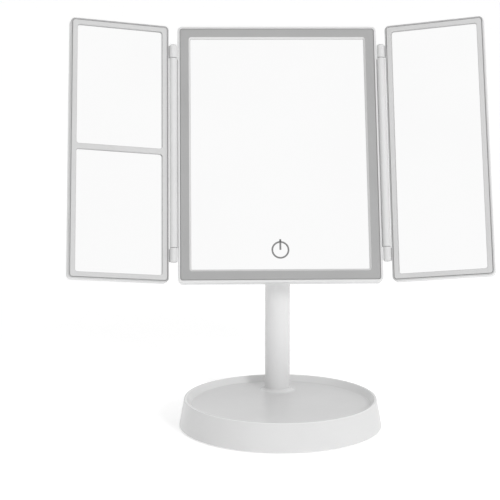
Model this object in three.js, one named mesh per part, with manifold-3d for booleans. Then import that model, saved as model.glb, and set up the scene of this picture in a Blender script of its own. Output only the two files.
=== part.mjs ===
// Lighted tri-fold vanity mirror on a round tray base.
// Millimetres, +Z up. The mirrors face -Y. The origin is the centre of the base, on the table.
import * as THREE from "three";
import { mergeVertices } from "three/addons/utils/BufferGeometryUtils.js";
import Module from "manifold-3d";

const wasm = await Module();
wasm.setup();

// ---- Driving dimensions ------------------------------------------------------------------
const GAP = 0.3; // clearance between pieces that rest on each other

const PANEL_WIDTH = 160; // centre panel, outside
const PANEL_HEIGHT = 209.5; // all three panels
const PANEL_DEPTH = 11;
const WING_WIDTH = 79.4;
const WING_DEPTH = 9;
const CORNER = 3.6; // outside corner radius of the panels
const TILT = 21; // degrees the head leans back
const LEFT_OPEN = 15.6; // degrees the wings stand forward of the centre panel
const RIGHT_OPEN = 17.5;

const SHELL_WALL = 1.8; // side wall of the centre shell
const BAND_WIDTH = 7.1; // frosted light band round the centre mirror
const BAND_BEVEL = 1.5; // its sloping inner edge
const FRAME_WIDTH = 5.5; // rim of a wing, from its edge to its mirror
const DIVIDER = 4.5; // bar between the two mirrors of the left wing
const GLASS = 1.8;

const HINGE_REACH = 3.4; // hinge axis to the side of either panel
const HINGE_PROUD = 0.5; // hinge axis in front of the panel faces
const BARREL_RADIUS = 3.1;
const BARREL_HALF = 77.3; // the long barrel reaches this far above and below the panel's centre
const KNUCKLE_HALF = 89.1; // outer ends of the wing's knuckles
const KNUCKLE_DOME = 1.6;
const PIN_RADIUS = 1;
const PIN_GRIP = 11; // length of a pin inside the long barrel

const HOUSING = { width: 120, low: -10.6, high: 73.4, back: 20.2, wall: 2.1 };
const DOOR = { width: 53.4, low: 6.4, front: 18.5, back: 20.2 };
const RUNNER_THICKNESS = 0.6; // the door's runners, along both its sides
const CELL = { radius: 5.2, length: 44.5, pitch: 11, depth: 12.8 };
const CELL_CENTRE = 38.4; // height of the cells above the panel's centre
const LIGHT_PITCH = 20; // from one light on a strip to the next
const SOCKET_HEIGHT = 20; // charging socket, above the panel's centre
const MARK_HEIGHT = -78; // touch mark on the mirror

const PIVOT_DEPTH = 23; // tilt axis behind the centre panel's front
const PIVOT_DROP = 23.6; // tilt axis below the panel's centre
const PIVOT_HEIGHT = 183.7; // tilt axis above the table
const TONGUE = { half: 6, radius: 8 };
const LUG = { inner: 7.2, outer: 12 };

const BASE_RADIUS = 80.25;
const RIM_RADIUS = 76;
const BASE_BOTTOM = 0.5;
const BASE_TOP = 22.3;
const DISH_DEPTH = 5;
const FLOOR_WALL = 2.2;
const COVER = { radius: 76.2, low: 2.2, high: 4 };
const WEIGHT = { radius: 61.5, low: 4.4, high: 8.4 };
const STEM_Y = 44; // the stem stands behind the centre of the tray
const STEM_RADIUS = 10.2;
const STEM_BORE = 8.2;
const BOLT_RADIUS = 2.9;

const dishFloor = BASE_TOP - DISH_DEPTH;
const floorUnderside = dishFloor - FLOOR_WALL;
const hingeX = PANEL_WIDTH / 2 + HINGE_REACH;
const rad = THREE.MathUtils.degToRad;

// ---- Finishes ----------------------------------------------------------------------------
const finish = (color, roughness, metalness = 0) => ({ color, roughness, metalness });
const WHITE_ABS = finish(0xececec, 0.38);
const FROSTED = finish(0xb4b4b4, 0.55);
const MIRROR = finish(0xfbfbfb, 0.03, 1);
const INNER_ABS = finish(0xd8d8d6, 0.6);
const STEEL = finish(0xb9bcc0, 0.35, 1);
const DARK_STEEL = finish(0x5a5d61, 0.55, 1);
const RUBBER = finish(0x3a3a3a, 0.9);
const BOARD = finish(0x1f5a3a, 0.5);
const WHITE_BOARD = finish(0xf2f2ee, 0.5);
const FOAM = finish(0xcfcfcf, 0.95);
const COPPER = finish(0xb87333, 0.4, 1);
const CELL_WRAP = finish(0x4a6a8c, 0.4);
const NYLON = finish(0xe8e6df, 0.6);

// ---- Geometry helpers --------------------------------------------------------------------
const bare = (geometry) => {
  const copy = geometry.clone();
  copy.deleteAttribute("normal");
  copy.deleteAttribute("uv");
  copy.clearGroups();
  return mergeVertices(copy, 1e-4);
};

const solid = (geometry) => {
  const merged = bare(geometry);
  const index = merged.index.array;
  const kept = [];
  for (let i = 0; i < index.length; i += 3) {
    const [a, b, c] = [index[i], index[i + 1], index[i + 2]];
    if (a !== b && b !== c && c !== a) kept.push(a, b, c);
  }
  const vertProperties = new Float32Array(merged.attributes.position.array);
  return new wasm.Manifold(new wasm.Mesh({ numProp: 3, vertProperties, triVerts: new Uint32Array(kept) }));
};

const surface = (body) => {
  const { vertProperties, triVerts } = body.getMesh();
  const geometry = new THREE.BufferGeometry();
  geometry.setAttribute("position", new THREE.BufferAttribute(vertProperties, 3));
  geometry.setIndex(new THREE.BufferAttribute(triVerts, 1));
  geometry.computeVertexNormals();
  return geometry;
};

const join = (...bodies) => bodies.reduce((sum, body) => sum.add(body));
const cut = (body, ...tools) => tools.reduce((rest, tool) => rest.subtract(tool), body);

const block = (x, y, z) => {
  const size = [x, y, z].map(([low, high]) => high - low);
  const middle = [x, y, z].map(([low, high]) => (low + high) / 2);
  return solid(new THREE.BoxGeometry(...size).translate(...middle));
};

const roundedRect = (width, height, radius, x = 0, y = 0) => {
  const [a, b, r] = [width / 2 - radius, height / 2 - radius, radius];
  const shape = new THREE.Shape();
  shape.absarc(x + a, y + b, r, 0, Math.PI / 2);
  shape.absarc(x - a, y + b, r, Math.PI / 2, Math.PI);
  shape.absarc(x - a, y - b, r, Math.PI, 1.5 * Math.PI);
  shape.absarc(x + a, y - b, r, 1.5 * Math.PI, 2 * Math.PI);
  shape.closePath();
  return shape;
};

// A flat piece lying in the panel's plane, from one depth behind the front face to another.
const slab = (shape, [front, back], edge = 0) => {
  const options = { depth: back - front - 2 * edge, curveSegments: 3, bevelEnabled: edge > 0 };
  Object.assign(options, { bevelThickness: edge, bevelSize: edge, bevelOffset: -edge, bevelSegments: 1 });
  const geometry = new THREE.ExtrudeGeometry(shape, options);
  return solid(geometry.rotateX(Math.PI / 2).translate(0, back - edge, 0));
};

// A solid of revolution about a vertical line; the profile lists [radius, height] outward, up and back.
const turned = (profile, segments, x = 0, y = 0) => {
  const points = profile.map(([radius, height]) => new THREE.Vector2(radius, height));
  return solid(new THREE.LatheGeometry(points, segments).rotateX(Math.PI / 2).translate(x, y, 0));
};

const disc = (radius, [low, high], segments = 14, x = 0, y = 0) =>
  turned([[0, low], [radius, low], [radius, high], [0, high]], segments, x, y);

const rodX = (radius, [from, to], y, z, segments = 14) => {
  const geometry = new THREE.CylinderGeometry(radius, radius, to - from, segments);
  return solid(geometry.rotateZ(Math.PI / 2).translate((from + to) / 2, y, z));
};

const rodY = (radius, [from, to], x, z, segments = 10) => {
  const geometry = new THREE.CylinderGeometry(radius, radius, to - from, segments);
  return solid(geometry.translate(x, (from + to) / 2, z));
};

// ---- Scene graph -------------------------------------------------------------------------
const mirror = new THREE.Group();
const head = new THREE.Group(); // turns on the tilt bolt
head.position.set(0, STEM_Y, PIVOT_HEIGHT);
head.rotation.x = -rad(TILT);
const panel = new THREE.Group(); // origin at the middle of the centre panel's front
panel.position.set(0, -PIVOT_DEPTH, PIVOT_DROP);
head.add(panel);
mirror.add(head);

const wingGroup = (side, open) => {
  const wing = new THREE.Group(); // origin on the hinge axis
  wing.position.set(side * hingeX, -HINGE_PROUD, 0);
  wing.rotation.z = -side * rad(open);
  panel.add(wing);
  return wing;
};

const place = (parent, name, body, look) => {
  const mesh = new THREE.Mesh(surface(body), new THREE.MeshStandardMaterial(look));
  mesh.name = name;
  parent.add(mesh);
};

// ---- Base --------------------------------------------------------------------------------
const coverScrews = [30, 150, 270].map((angle) => [66 * Math.cos(rad(angle)), 66 * Math.sin(rad(angle))]);
const spigotTop = 30;
const boltSeat = 10;

function baseTray() {
  const shell = turned([
    [0, floorUnderside], [73.4, floorUnderside], [77.6, BASE_BOTTOM], [79.6, BASE_BOTTOM],
    [BASE_RADIUS, BASE_BOTTOM + 0.7], [RIM_RADIUS + 0.3, BASE_TOP - 1.2], [RIM_RADIUS - 0.3, BASE_TOP - 0.3],
    [RIM_RADIUS - 1, BASE_TOP], [RIM_RADIUS - 1.8, BASE_TOP - 0.3], [71.2, dishFloor + 0.6],
    [70, dishFloor], [0, dishFloor],
  ], 60);
  const flare = [];
  for (let step = 0; step <= 5; step += 1) {
    const angle = (step / 5) * (Math.PI / 2);
    flare.push([14.8 - 4.3 * Math.sin(angle), dishFloor + 0.05 + 2.7 * (1 - Math.cos(angle))]);
  }
  const shoulder = flare.at(-1)[1];
  const socket = turned([
    [0, dishFloor - 1], [14.8, dishFloor - 1], ...flare, [7.8, shoulder], [7.8, spigotTop], [0, spigotTop],
  ], 24, 0, STEM_Y);
  const seat = disc(9, [boltSeat, floorUnderside + 1], 16, 0, STEM_Y);
  const boltHole = disc(BOLT_RADIUS + 0.4, [0, 40], 12, 0, STEM_Y);
  const posts = coverScrews.map(([x, y]) => disc(3.2, [COVER.high + 1, floorUnderside + 1], 10, x, y));
  const holes = coverScrews.map(([x, y]) => disc(1.3, [0, floorUnderside - 1], 8, x, y));
  return cut(join(shell, socket, seat, ...posts), boltHole, ...holes);
}

function addBase() {
  place(mirror, "base_tray", baseTray(), WHITE_ABS);
  const screwHoles = coverScrews.map(([x, y]) => disc(1.7, [0, 6], 10, x, y));
  const cover = disc(COVER.radius, [COVER.low, COVER.high], 60);
  place(mirror, "base_bottom_cover", cut(cover, ...screwHoles), INNER_ABS);
  const boltSpace = disc(12.5, [0, 20], 16, 0, STEM_Y);
  const weight = disc(WEIGHT.radius, [WEIGHT.low, WEIGHT.high], 40);
  place(mirror, "base_weight", cut(weight, boltSpace), DARK_STEEL);
  for (let foot = 0; foot < 4; foot += 1) {
    const angle = rad(45 + 90 * foot);
    const body = disc(6.5, [0, COVER.low - GAP], 20, 62 * Math.cos(angle), 62 * Math.sin(angle));
    place(mirror, `rubber_foot_${foot + 1}`, body, RUBBER);
  }
  coverScrews.forEach(([x, y], index) => {
    const screw = turned([[0, 0.7], [2.9, 0.7], [2.9, 1.9], [0.9, 1.9], [0.9, 11], [0, 11]], 10, x, y);
    place(mirror, `base_cover_screw_${index + 1}`, screw, STEEL);
  });
}

// ---- Stem --------------------------------------------------------------------------------
const stemFoot = dishFloor + 2.75 + GAP;
const flangeTop = PIVOT_HEIGHT - 14;
const flangeBottom = flangeTop - 3;
const plugLow = spigotTop + 1;
const plugHigh = plugLow + 20;
const headScrewHeight = flangeBottom - 9;

function addStem() {
  const screwHole = rodY(1.6, [STEM_Y + 3, STEM_Y + 12], 0, headScrewHeight, 8);
  const tube = turned([
    [STEM_BORE, stemFoot], [STEM_RADIUS, stemFoot], [STEM_RADIUS, flangeBottom - GAP],
    [STEM_BORE, flangeBottom - GAP], [STEM_BORE, stemFoot],
  ], 28, 0, STEM_Y);
  place(mirror, "stem_tube", cut(tube, screwHole), WHITE_ABS);

  const plugBore = disc(BOLT_RADIUS + 0.4, [0, 60], 12, 0, STEM_Y);
  const plug = disc(STEM_BORE - 0.4, [plugLow, plugHigh], 16, 0, STEM_Y);
  place(mirror, "stem_foot_plug", cut(plug, plugBore), STEEL);
  const washer = cut(disc(8, [boltSeat - GAP - 1.4, boltSeat - GAP], 16, 0, STEM_Y), plugBore);
  place(mirror, "stem_bolt_washer", washer, STEEL);
  const headTop = boltSeat - GAP - 1.4 - GAP;
  const bolt = turned([
    [0, headTop - 3.6], [5, headTop - 3.6], [5, headTop], [BOLT_RADIUS, headTop],
    [BOLT_RADIUS, plugHigh - 2], [0, plugHigh - 2],
  ], 12, 0, STEM_Y);
  place(mirror, "stem_bolt", bolt, STEEL);

  const { half, radius } = TONGUE;
  const body = turned([
    [0, flangeBottom - 16], [STEM_BORE - 0.4, flangeBottom - 16], [STEM_BORE - 0.4, flangeBottom],
    [STEM_RADIUS, flangeBottom], [STEM_RADIUS, flangeTop - 1], [STEM_RADIUS - 1, flangeTop], [0, flangeTop],
  ], 28, 0, STEM_Y);
  const neck = block([-half, half], [STEM_Y - radius, STEM_Y + radius], [flangeTop - 1, PIVOT_HEIGHT]);
  const eye = rodX(radius, [-half, half], STEM_Y, PIVOT_HEIGHT, 20);
  const bore = rodX(2.7, [-20, 20], STEM_Y, PIVOT_HEIGHT);
  place(mirror, "stem_head", cut(join(body, neck, eye), bore, screwHole), WHITE_ABS);

  const screwHead = rodY(2.5, [STEM_Y + STEM_RADIUS + 0.4, STEM_Y + STEM_RADIUS + 1.7], 0, headScrewHeight);
  const shank = rodY(1.2, [STEM_Y + 3.6, STEM_Y + STEM_RADIUS + 0.5], 0, headScrewHeight, 8);
  place(mirror, "stem_head_screw", join(screwHead, shank), STEEL);
}

// ---- Tilt hinge --------------------------------------------------------------------------
function addTiltHinge() {
  place(head, "tilt_bolt", join(rodX(2.4, [-16, 12.6], 0, 0), rodX(4, [12.3, 15.2], 0, 0)), STEEL);
  const nut = rodX(4.2, [-15.6, -12.3], 0, 0, 6);
  place(head, "tilt_nut", cut(nut, rodX(2.7, [-20, 0], 0, 0)), STEEL);
  const bore = rodX(2.7, [-20, 20], 0, 0);
  const outside = LUG.inner - GAP;
  place(head, "friction_washer_left", cut(rodX(7, [-outside, -TONGUE.half - GAP], 0, 0), bore), NYLON);
  place(head, "friction_washer_right", cut(rodX(7, [TONGUE.half + GAP, outside], 0, 0), bore), NYLON);
}

// The ear that carries the tilt bolt, drawn in depth and height and given its thickness along X.
function tiltLug(side) {
  const profile = new THREE.Shape();
  profile.moveTo(PANEL_DEPTH - 1.5, -PIVOT_DROP - 14);
  profile.lineTo(16.5, -PIVOT_DROP - 8);
  profile.absarc(PIVOT_DEPTH, -PIVOT_DROP, 8, -Math.PI / 2, Math.PI / 2);
  profile.lineTo(16.5, -PIVOT_DROP + 8);
  profile.lineTo(PANEL_DEPTH - 1.5, -PIVOT_DROP + 14);
  profile.closePath();
  const thickness = LUG.outer - LUG.inner;
  const options = { depth: thickness, curveSegments: 8, bevelEnabled: false };
  const geometry = new THREE.ExtrudeGeometry(profile, options);
  const axes = [new THREE.Vector3(0, 1, 0), new THREE.Vector3(0, 0, 1), new THREE.Vector3(1, 0, 0)];
  geometry.applyMatrix4(new THREE.Matrix4().makeBasis(...axes));
  return solid(geometry.translate(side > 0 ? LUG.inner : -LUG.outer, 0, 0));
}

// ---- Wing hinges -------------------------------------------------------------------------
const pinHole = (x, y, [low, high]) => disc(PIN_RADIUS + GAP, [low, high], 8, x, y);

// A barrel with one domed end, as the wings' knuckles have.
function knuckle(x, [inner, outer]) {
  const up = Math.sign(outer - inner);
  const profile = [[0, inner], [BARREL_RADIUS, inner]];
  for (const angle of [0, Math.PI / 4, Math.PI / 2]) {
    const radius = BARREL_RADIUS - KNUCKLE_DOME * (1 - Math.cos(angle));
    profile.push([radius, outer - up * KNUCKLE_DOME * (1 - Math.sin(angle))]);
  }
  profile.push([0, outer]);
  return turned(up > 0 ? profile : profile.reverse(), 16, x, 0);
}

// ---- Centre panel ------------------------------------------------------------------------
const [innerWidth, innerHeight] = [PANEL_WIDTH - 2 * SHELL_WALL, PANEL_HEIGHT - 2 * SHELL_WALL];
const windowInset = SHELL_WALL + BAND_WIDTH + BAND_BEVEL;
const [windowWidth, windowHeight] = [PANEL_WIDTH - 2 * windowInset, PANEL_HEIGHT - 2 * windowInset];
const glassFront = 1.9;
const sheet = [glassFront + GLASS + GAP, glassFront + GLASS + GAP + 0.5];
const carrier = [sheet[1] + GAP, sheet[1] + GAP + 1.2];
const panelScrews = [[-60, -90], [60, -90], [-60, 90], [60, 90]];

function centreShell() {
  const housingMiddle = (HOUSING.low + HOUSING.high) / 2;
  const housingHeight = HOUSING.high - HOUSING.low;
  const outside = join(
    slab(roundedRect(PANEL_WIDTH, PANEL_HEIGHT, CORNER), [0, PANEL_DEPTH], 0.8),
    slab(roundedRect(HOUSING.width, housingHeight, 9, 0, housingMiddle), [PANEL_DEPTH - 2, HOUSING.back], 1.6),
    tiltLug(-1),
    tiltLug(1),
  );
  const wall = HOUSING.wall;
  const cavity = join(
    slab(roundedRect(innerWidth, innerHeight, CORNER - SHELL_WALL), [-1, PANEL_DEPTH - 2]),
    slab(
      roundedRect(HOUSING.width - 2 * wall, housingHeight - 2 * wall, 7, 0, housingMiddle),
      [PANEL_DEPTH - 3, HOUSING.back - 2.4],
    ),
  );
  const doorHalf = DOOR.width / 2 + GAP;
  const openEnd = HOUSING.high + 1;
  const doorway = join(
    block([-doorHalf, doorHalf], [DOOR.front - GAP, HOUSING.back + 1], [DOOR.low - GAP, openEnd]),
    block(
      [-doorHalf - 1.5, doorHalf + 1.5],
      [DOOR.front - GAP, DOOR.front + RUNNER_THICKNESS + GAP],
      [DOOR.low - GAP, openEnd],
    ),
    block([-24, 24], [HOUSING.back - 4, HOUSING.back], [10.4, 66.4]),
  );
  const screwSeats = panelScrews.map(([x, z]) => rodY(3, [PANEL_DEPTH - 1, PANEL_DEPTH + 1], x, z));
  const screwHoles = panelScrews.map(([x, z]) => rodY(1.4, [PANEL_DEPTH - 4, PANEL_DEPTH], x, z, 8));
  const socketSlot = block([-HOUSING.width / 2 - 1, -HOUSING.width / 2 + 4], [10.6, 14.4], [15.2, 24.8]);
  const boltBore = rodX(2.7, [-20, 20], PIVOT_DEPTH, -PIVOT_DROP);
  const body = cut(outside, cavity, doorway, ...screwSeats, ...screwHoles, socketSlot, boltBore);

  const boreDeep = BARREL_HALF - PIN_GRIP - 1;
  const barrels = [-1, 1].map((side) => {
    const reach = [side * (PANEL_WIDTH / 2 - 1), side * hingeX].sort((a, b) => a - b);
    const web = block(reach, [0.9, 2.5], [-BARREL_HALF, BARREL_HALF]);
    const length = disc(BARREL_RADIUS, [-BARREL_HALF, BARREL_HALF], 16, side * hingeX, -HINGE_PROUD);
    const bores = [[boreDeep, BARREL_HALF + 1], [-BARREL_HALF - 1, -boreDeep]];
    return cut(join(length, web), ...bores.map((span) => pinHole(side * hingeX, -HINGE_PROUD, span)));
  });
  return join(body, ...barrels);
}

function lightBand() {
  const edge = roundedRect(innerWidth - 2 * GAP, innerHeight - 2 * GAP, CORNER - SHELL_WALL - GAP);
  const plate = slab(edge, [0.3, 1.6]);
  const rim = slab(edge, [1.5, 5]);
  const rimSpace = slab(roundedRect(innerWidth - 3.4, innerHeight - 3.4, 0.6), [1.4, 6]);
  const opening = slab(roundedRect(windowWidth, windowHeight, 0.8), [-1, 3]);
  const [bevelWidth, bevelHeight] = [windowWidth + 2 * BAND_BEVEL, windowHeight + 2 * BAND_BEVEL];
  const slope = slab(roundedRect(bevelWidth, bevelHeight, 0.8 + BAND_BEVEL), [-1.2, 1.8], BAND_BEVEL - 0.1);
  return cut(join(plate, cut(rim, rimSpace)), opening, slope);
}

function ledStrip(length, vertical) {
  const depth = [7.6, 8.7];
  const half = 2.5;
  const span = [-length / 2, length / 2];
  const board = vertical ? block([-half, half], depth, span) : block(span, depth, [-half, half]);
  const count = Math.floor(length / LIGHT_PITCH);
  const lights = [];
  for (let index = 0; index < count; index += 1) {
    const at = (index - (count - 1) / 2) * LIGHT_PITCH;
    const [along, across] = [[at - 1.5, at + 1.5], [-1.4, 1.4]];
    lights.push(vertical ? block(across, [6.9, 7.7], along) : block(along, [6.9, 7.7], across));
  }
  return join(board, ...lights);
}

function addLights() {
  const sideX = PANEL_WIDTH / 2 - SHELL_WALL - 0.8 - 2.5;
  const endZ = PANEL_HEIGHT / 2 - SHELL_WALL - 0.8 - 2.5;
  const strips = [
    ["left", true, -sideX, 0], ["right", true, sideX, 0], ["top", false, 0, endZ], ["bottom", false, 0, -endZ],
  ];
  for (const [where, vertical, x, z] of strips) {
    const strip = ledStrip(vertical ? 2 * endZ - 6 : 2 * sideX + 4, vertical);
    place(panel, `led_strip_${where}`, strip.translate([x, 0, z]), WHITE_BOARD);
  }
}

function addMirrorStack() {
  place(panel, "light_band", lightBand(), FROSTED);
  const glass = slab(roundedRect(windowWidth + 3, windowHeight + 3, 1.5), [glassFront, glassFront + GLASS]);
  place(panel, "centre_mirror", glass, MIRROR);
  const sensorSpace = rodY(9, [0, 10], 0, MARK_HEIGHT, 16);
  place(panel, "mirror_adhesive_sheet", cut(slab(roundedRect(120, 172, 3), sheet), sensorSpace), FOAM);
  const sensor = rodY(7.5, [sheet[0], sheet[1]], 0, MARK_HEIGHT, 16);
  place(panel, "touch_sensor", sensor, COPPER);
  const plate = slab(roundedRect(windowWidth + 2.4, windowHeight + 2.4, 2), carrier);
  const posts = panelScrews.map(([x, z]) => rodY(3, [carrier[1] - 0.2, PANEL_DEPTH - 2 - GAP], x, z));
  const holes = panelScrews.map(([x, z]) => rodY(1.2, [carrier[1], 12], x, z, 8));
  const lead = rodY(1.5, [0, 10], 0, MARK_HEIGHT + 5, 8);
  place(panel, "mirror_carrier", cut(join(plate, ...posts), ...holes, lead), INNER_ABS);
  panelScrews.forEach(([x, z], index) => {
    const top = rodY(2.6, [PANEL_DEPTH - 0.7, PANEL_DEPTH + 0.1], x, z, 12);
    const shank = rodY(0.9, [carrier[1] + 0.5, PANEL_DEPTH - 0.6], x, z, 8);
    place(panel, `rear_screw_${index + 1}`, join(top, shank), STEEL);
  });
}

// ---- Power: cells, contacts, board and socket -----------------------------------------------
function addPower() {
  const tray = cut(
    block([-26, 26], [6.4, HOUSING.back - 2.4 - GAP], [CELL_CENTRE - 29, CELL_CENTRE + 29]),
    block([-22.6, 22.6], [7.2, HOUSING.back], [CELL_CENTRE - 26, CELL_CENTRE + 26]),
  );
  place(panel, "battery_tray", tray, INNER_ABS);
  for (let index = 0; index < 4; index += 1) {
    const x = (index - 1.5) * CELL.pitch;
    const up = index % 2 ? 1 : -1;
    const half = CELL.length / 2;
    const profile = [
      [0, -half], [CELL.radius, -half], [CELL.radius, half - 1], [1.9, half - 1], [1.9, half], [0, half],
    ];
    const ordered = up > 0 ? profile : profile.map(([r, z]) => [r, -z]).reverse();
    const cell = turned(ordered, 14, x, CELL.depth).translate([0, 0, CELL_CENTRE]);
    place(panel, `battery_cell_${index + 1}`, cell, CELL_WRAP);
  }
  let contact = 1;
  for (const end of [-1, 1]) {
    for (const side of [-1, 1]) {
      const x = side * CELL.pitch;
      const outer = CELL_CENTRE + end * (26 - GAP);
      const plate = [outer, outer - end * 0.5].sort((a, b) => a - b);
      const bumps = [-0.5, 0.5].map((offset) => {
        const tip = [outer - end * 0.4, outer - end * 2.6].sort((a, b) => a - b);
        return disc(2.2, tip, 8, x + offset * CELL.pitch, CELL.depth);
      });
      const body = join(block([x - 9.8, x + 9.8], [CELL.depth - 4, CELL.depth + 4], plate), ...bumps);
      place(panel, `battery_contact_${contact}`, body, STEEL);
      contact += 1;
    }
  }
  const board = join(
    block([-55.4, -30], [8.8, 10.3], [-2, 62]),
    block([-48, -38], [10.2, 11.6], [36, 46]),
    block([-52, -46], [10.2, 13.5], [50, 56]),
    block([-40, -34], [10.2, 12.4], [4, 12]),
  );
  place(panel, "control_board", board, BOARD);
  const socket = cut(
    block([-58.6, -51], [10.6, 14.2], [SOCKET_HEIGHT - 4.6, SOCKET_HEIGHT + 4.6]),
    block([-60, -52], [11, 13.8], [SOCKET_HEIGHT - 4.2, SOCKET_HEIGHT + 4.2]),
  );
  place(panel, "charging_socket", socket, STEEL);

  const half = DOOR.width / 2;
  const doorTop = HOUSING.high - 0.2;
  const door = join(
    block([-half, half], [DOOR.front, DOOR.back], [DOOR.low, doorTop]),
    block([-half - 1.2, half + 1.2], [DOOR.front, DOOR.front + RUNNER_THICKNESS], [DOOR.low, doorTop - 2]),
    ...[60, 62.4, 64.8].map((low) => block([-8, 8], [DOOR.back - 0.1, DOOR.back + 0.5], [low, low + 1.2])),
  );
  place(panel, "battery_door", door, WHITE_ABS);
}

// ---- Wings -------------------------------------------------------------------------------
// A wing is drawn with its hinge axis at the origin; its face lies HINGE_PROUD behind the axis.
function addWing(wing, side, label, windows) {
  const middle = side * (HINGE_REACH + WING_WIDTH / 2);
  const face = HINGE_PROUD;
  const rect = (width, height, radius, x = 0, z = 0) => roundedRect(width, height, radius, middle + x, z);

  const shellOutside = slab(rect(WING_WIDTH, PANEL_HEIGHT, CORNER), [face, face + WING_DEPTH], 0.8);
  const lip = 1.2;
  const inside = rect(WING_WIDTH - 2 * lip, PANEL_HEIGHT - 2 * lip, CORNER - lip);
  const pocket = slab(inside, [face - 1, face + WING_DEPTH - 1.6]);
  const ribs = [-60, 0, 60].map((z) => {
    const reach = WING_WIDTH / 2 - 0.8;
    return block([middle - reach, middle + reach], [face + 4.8, face + WING_DEPTH - 1], [z - 0.8, z + 0.8]);
  });
  const knuckles = [1, -1].map((end) => {
    const span = [end * (BARREL_HALF + GAP), end * KNUCKLE_HALF];
    const [low, high] = [Math.min(...span), Math.max(...span)];
    const reach = [0, side * (HINGE_REACH + 0.8)].sort((a, b) => a - b);
    const web = block(reach, [face + 0.9, BARREL_RADIUS - 0.1], [low + 0.8, high - 0.8]);
    const bore = end > 0 ? [low - 1, high - 2.4] : [low + 2.4, high + 1];
    return cut(join(knuckle(0, span), web), pinHole(0, 0, bore));
  });
  const shell = join(cut(shellOutside, pocket), ...ribs, ...knuckles);
  place(wing, `${label}_wing_shell`, shell, WHITE_ABS);

  const seam = lip + GAP;
  const edge = rect(WING_WIDTH - 2 * seam, PANEL_HEIGHT - 2 * seam, CORNER - seam);
  const frame = slab(edge, [face + 0.1, face + 1.2]);
  const openings = windows.map(({ height, z }) =>
    slab(rect(WING_WIDTH - 2 * FRAME_WIDTH, height, 2, 0, z), [face - 1, face + 3]));
  place(wing, `${label}_wing_frame`, cut(frame, ...openings), WHITE_ABS);

  for (const { name, height, z } of windows) {
    const width = WING_WIDTH - 2 * FRAME_WIDTH + 2;
    const glass = slab(rect(width, height + 2, 2.4, 0, z), [face + 1.5, face + 1.5 + GLASS]);
    place(wing, `${name}_mirror`, glass, MIRROR);
    const pad = slab(rect(width - 10, height - 12, 2, 0, z), [face + 3.6, face + 4.4]);
    place(wing, `${name}_adhesive_pad`, pad, FOAM);
  }
  const [pinInner, pinOuter] = [BARREL_HALF - PIN_GRIP, KNUCKLE_HALF - 2.8];
  place(wing, `${label}_hinge_pin_top`, disc(PIN_RADIUS, [pinInner, pinOuter], 8), STEEL);
  place(wing, `${label}_hinge_pin_bottom`, disc(PIN_RADIUS, [-pinOuter, -pinInner], 8), STEEL);
}

function addWings() {
  const full = PANEL_HEIGHT - 2 * FRAME_WIDTH;
  const pane = (full - DIVIDER) / 2;
  const offset = (pane + DIVIDER) / 2;
  addWing(wingGroup(-1, LEFT_OPEN), -1, "left", [
    { name: "left_upper", height: pane, z: offset },
    { name: "left_lower", height: pane, z: -offset },
  ]);
  addWing(wingGroup(1, RIGHT_OPEN), 1, "right", [{ name: "right", height: full, z: 0 }]);
}

// ---- Assembly ----------------------------------------------------------------------------
addBase();
addStem();
addTiltHinge();
place(panel, "centre_rear_shell", centreShell(), WHITE_ABS);
addMirrorStack();
addLights();
addPower();
addWings();

export default mirror;
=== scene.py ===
"""Looks of a lighted tri-fold vanity mirror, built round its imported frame.

Sizes are in millimetres and are turned to metres when a mesh is made. A panel's own coordinates are
(across, depth, up): across to the viewer's right, depth behind the mirror's face, up along the panel.
The studio's sizes are in metres.
"""

import logging
import math
from dataclasses import dataclass, replace
from enum import Enum
from typing import Any, Callable, Sequence

import bpy
import numpy as np
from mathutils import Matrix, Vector


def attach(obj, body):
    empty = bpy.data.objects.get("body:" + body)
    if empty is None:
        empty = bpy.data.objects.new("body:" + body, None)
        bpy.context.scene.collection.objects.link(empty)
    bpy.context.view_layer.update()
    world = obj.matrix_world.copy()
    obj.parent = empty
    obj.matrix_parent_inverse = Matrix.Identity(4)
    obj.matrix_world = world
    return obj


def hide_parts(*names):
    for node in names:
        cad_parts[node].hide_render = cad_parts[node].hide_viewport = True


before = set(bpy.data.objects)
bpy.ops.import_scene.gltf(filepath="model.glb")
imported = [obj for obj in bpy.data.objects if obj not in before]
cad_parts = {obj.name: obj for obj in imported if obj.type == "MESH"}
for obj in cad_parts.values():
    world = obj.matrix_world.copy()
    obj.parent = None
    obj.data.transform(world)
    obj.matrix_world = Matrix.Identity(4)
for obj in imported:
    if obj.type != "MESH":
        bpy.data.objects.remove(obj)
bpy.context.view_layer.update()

LOG = logging.getLogger("vanity_mirror")
MM = 0.001
Array = np.ndarray


class Body(Enum):
    """The rigid bodies that pieces ride on."""

    BASE = "base"
    HEAD = "head"
    LEFT_WING = "left_wing"
    RIGHT_WING = "right_wing"
    DOOR = "battery_door"


# ---- Curves and surfaces ----------------------------------------------------------------------


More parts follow.
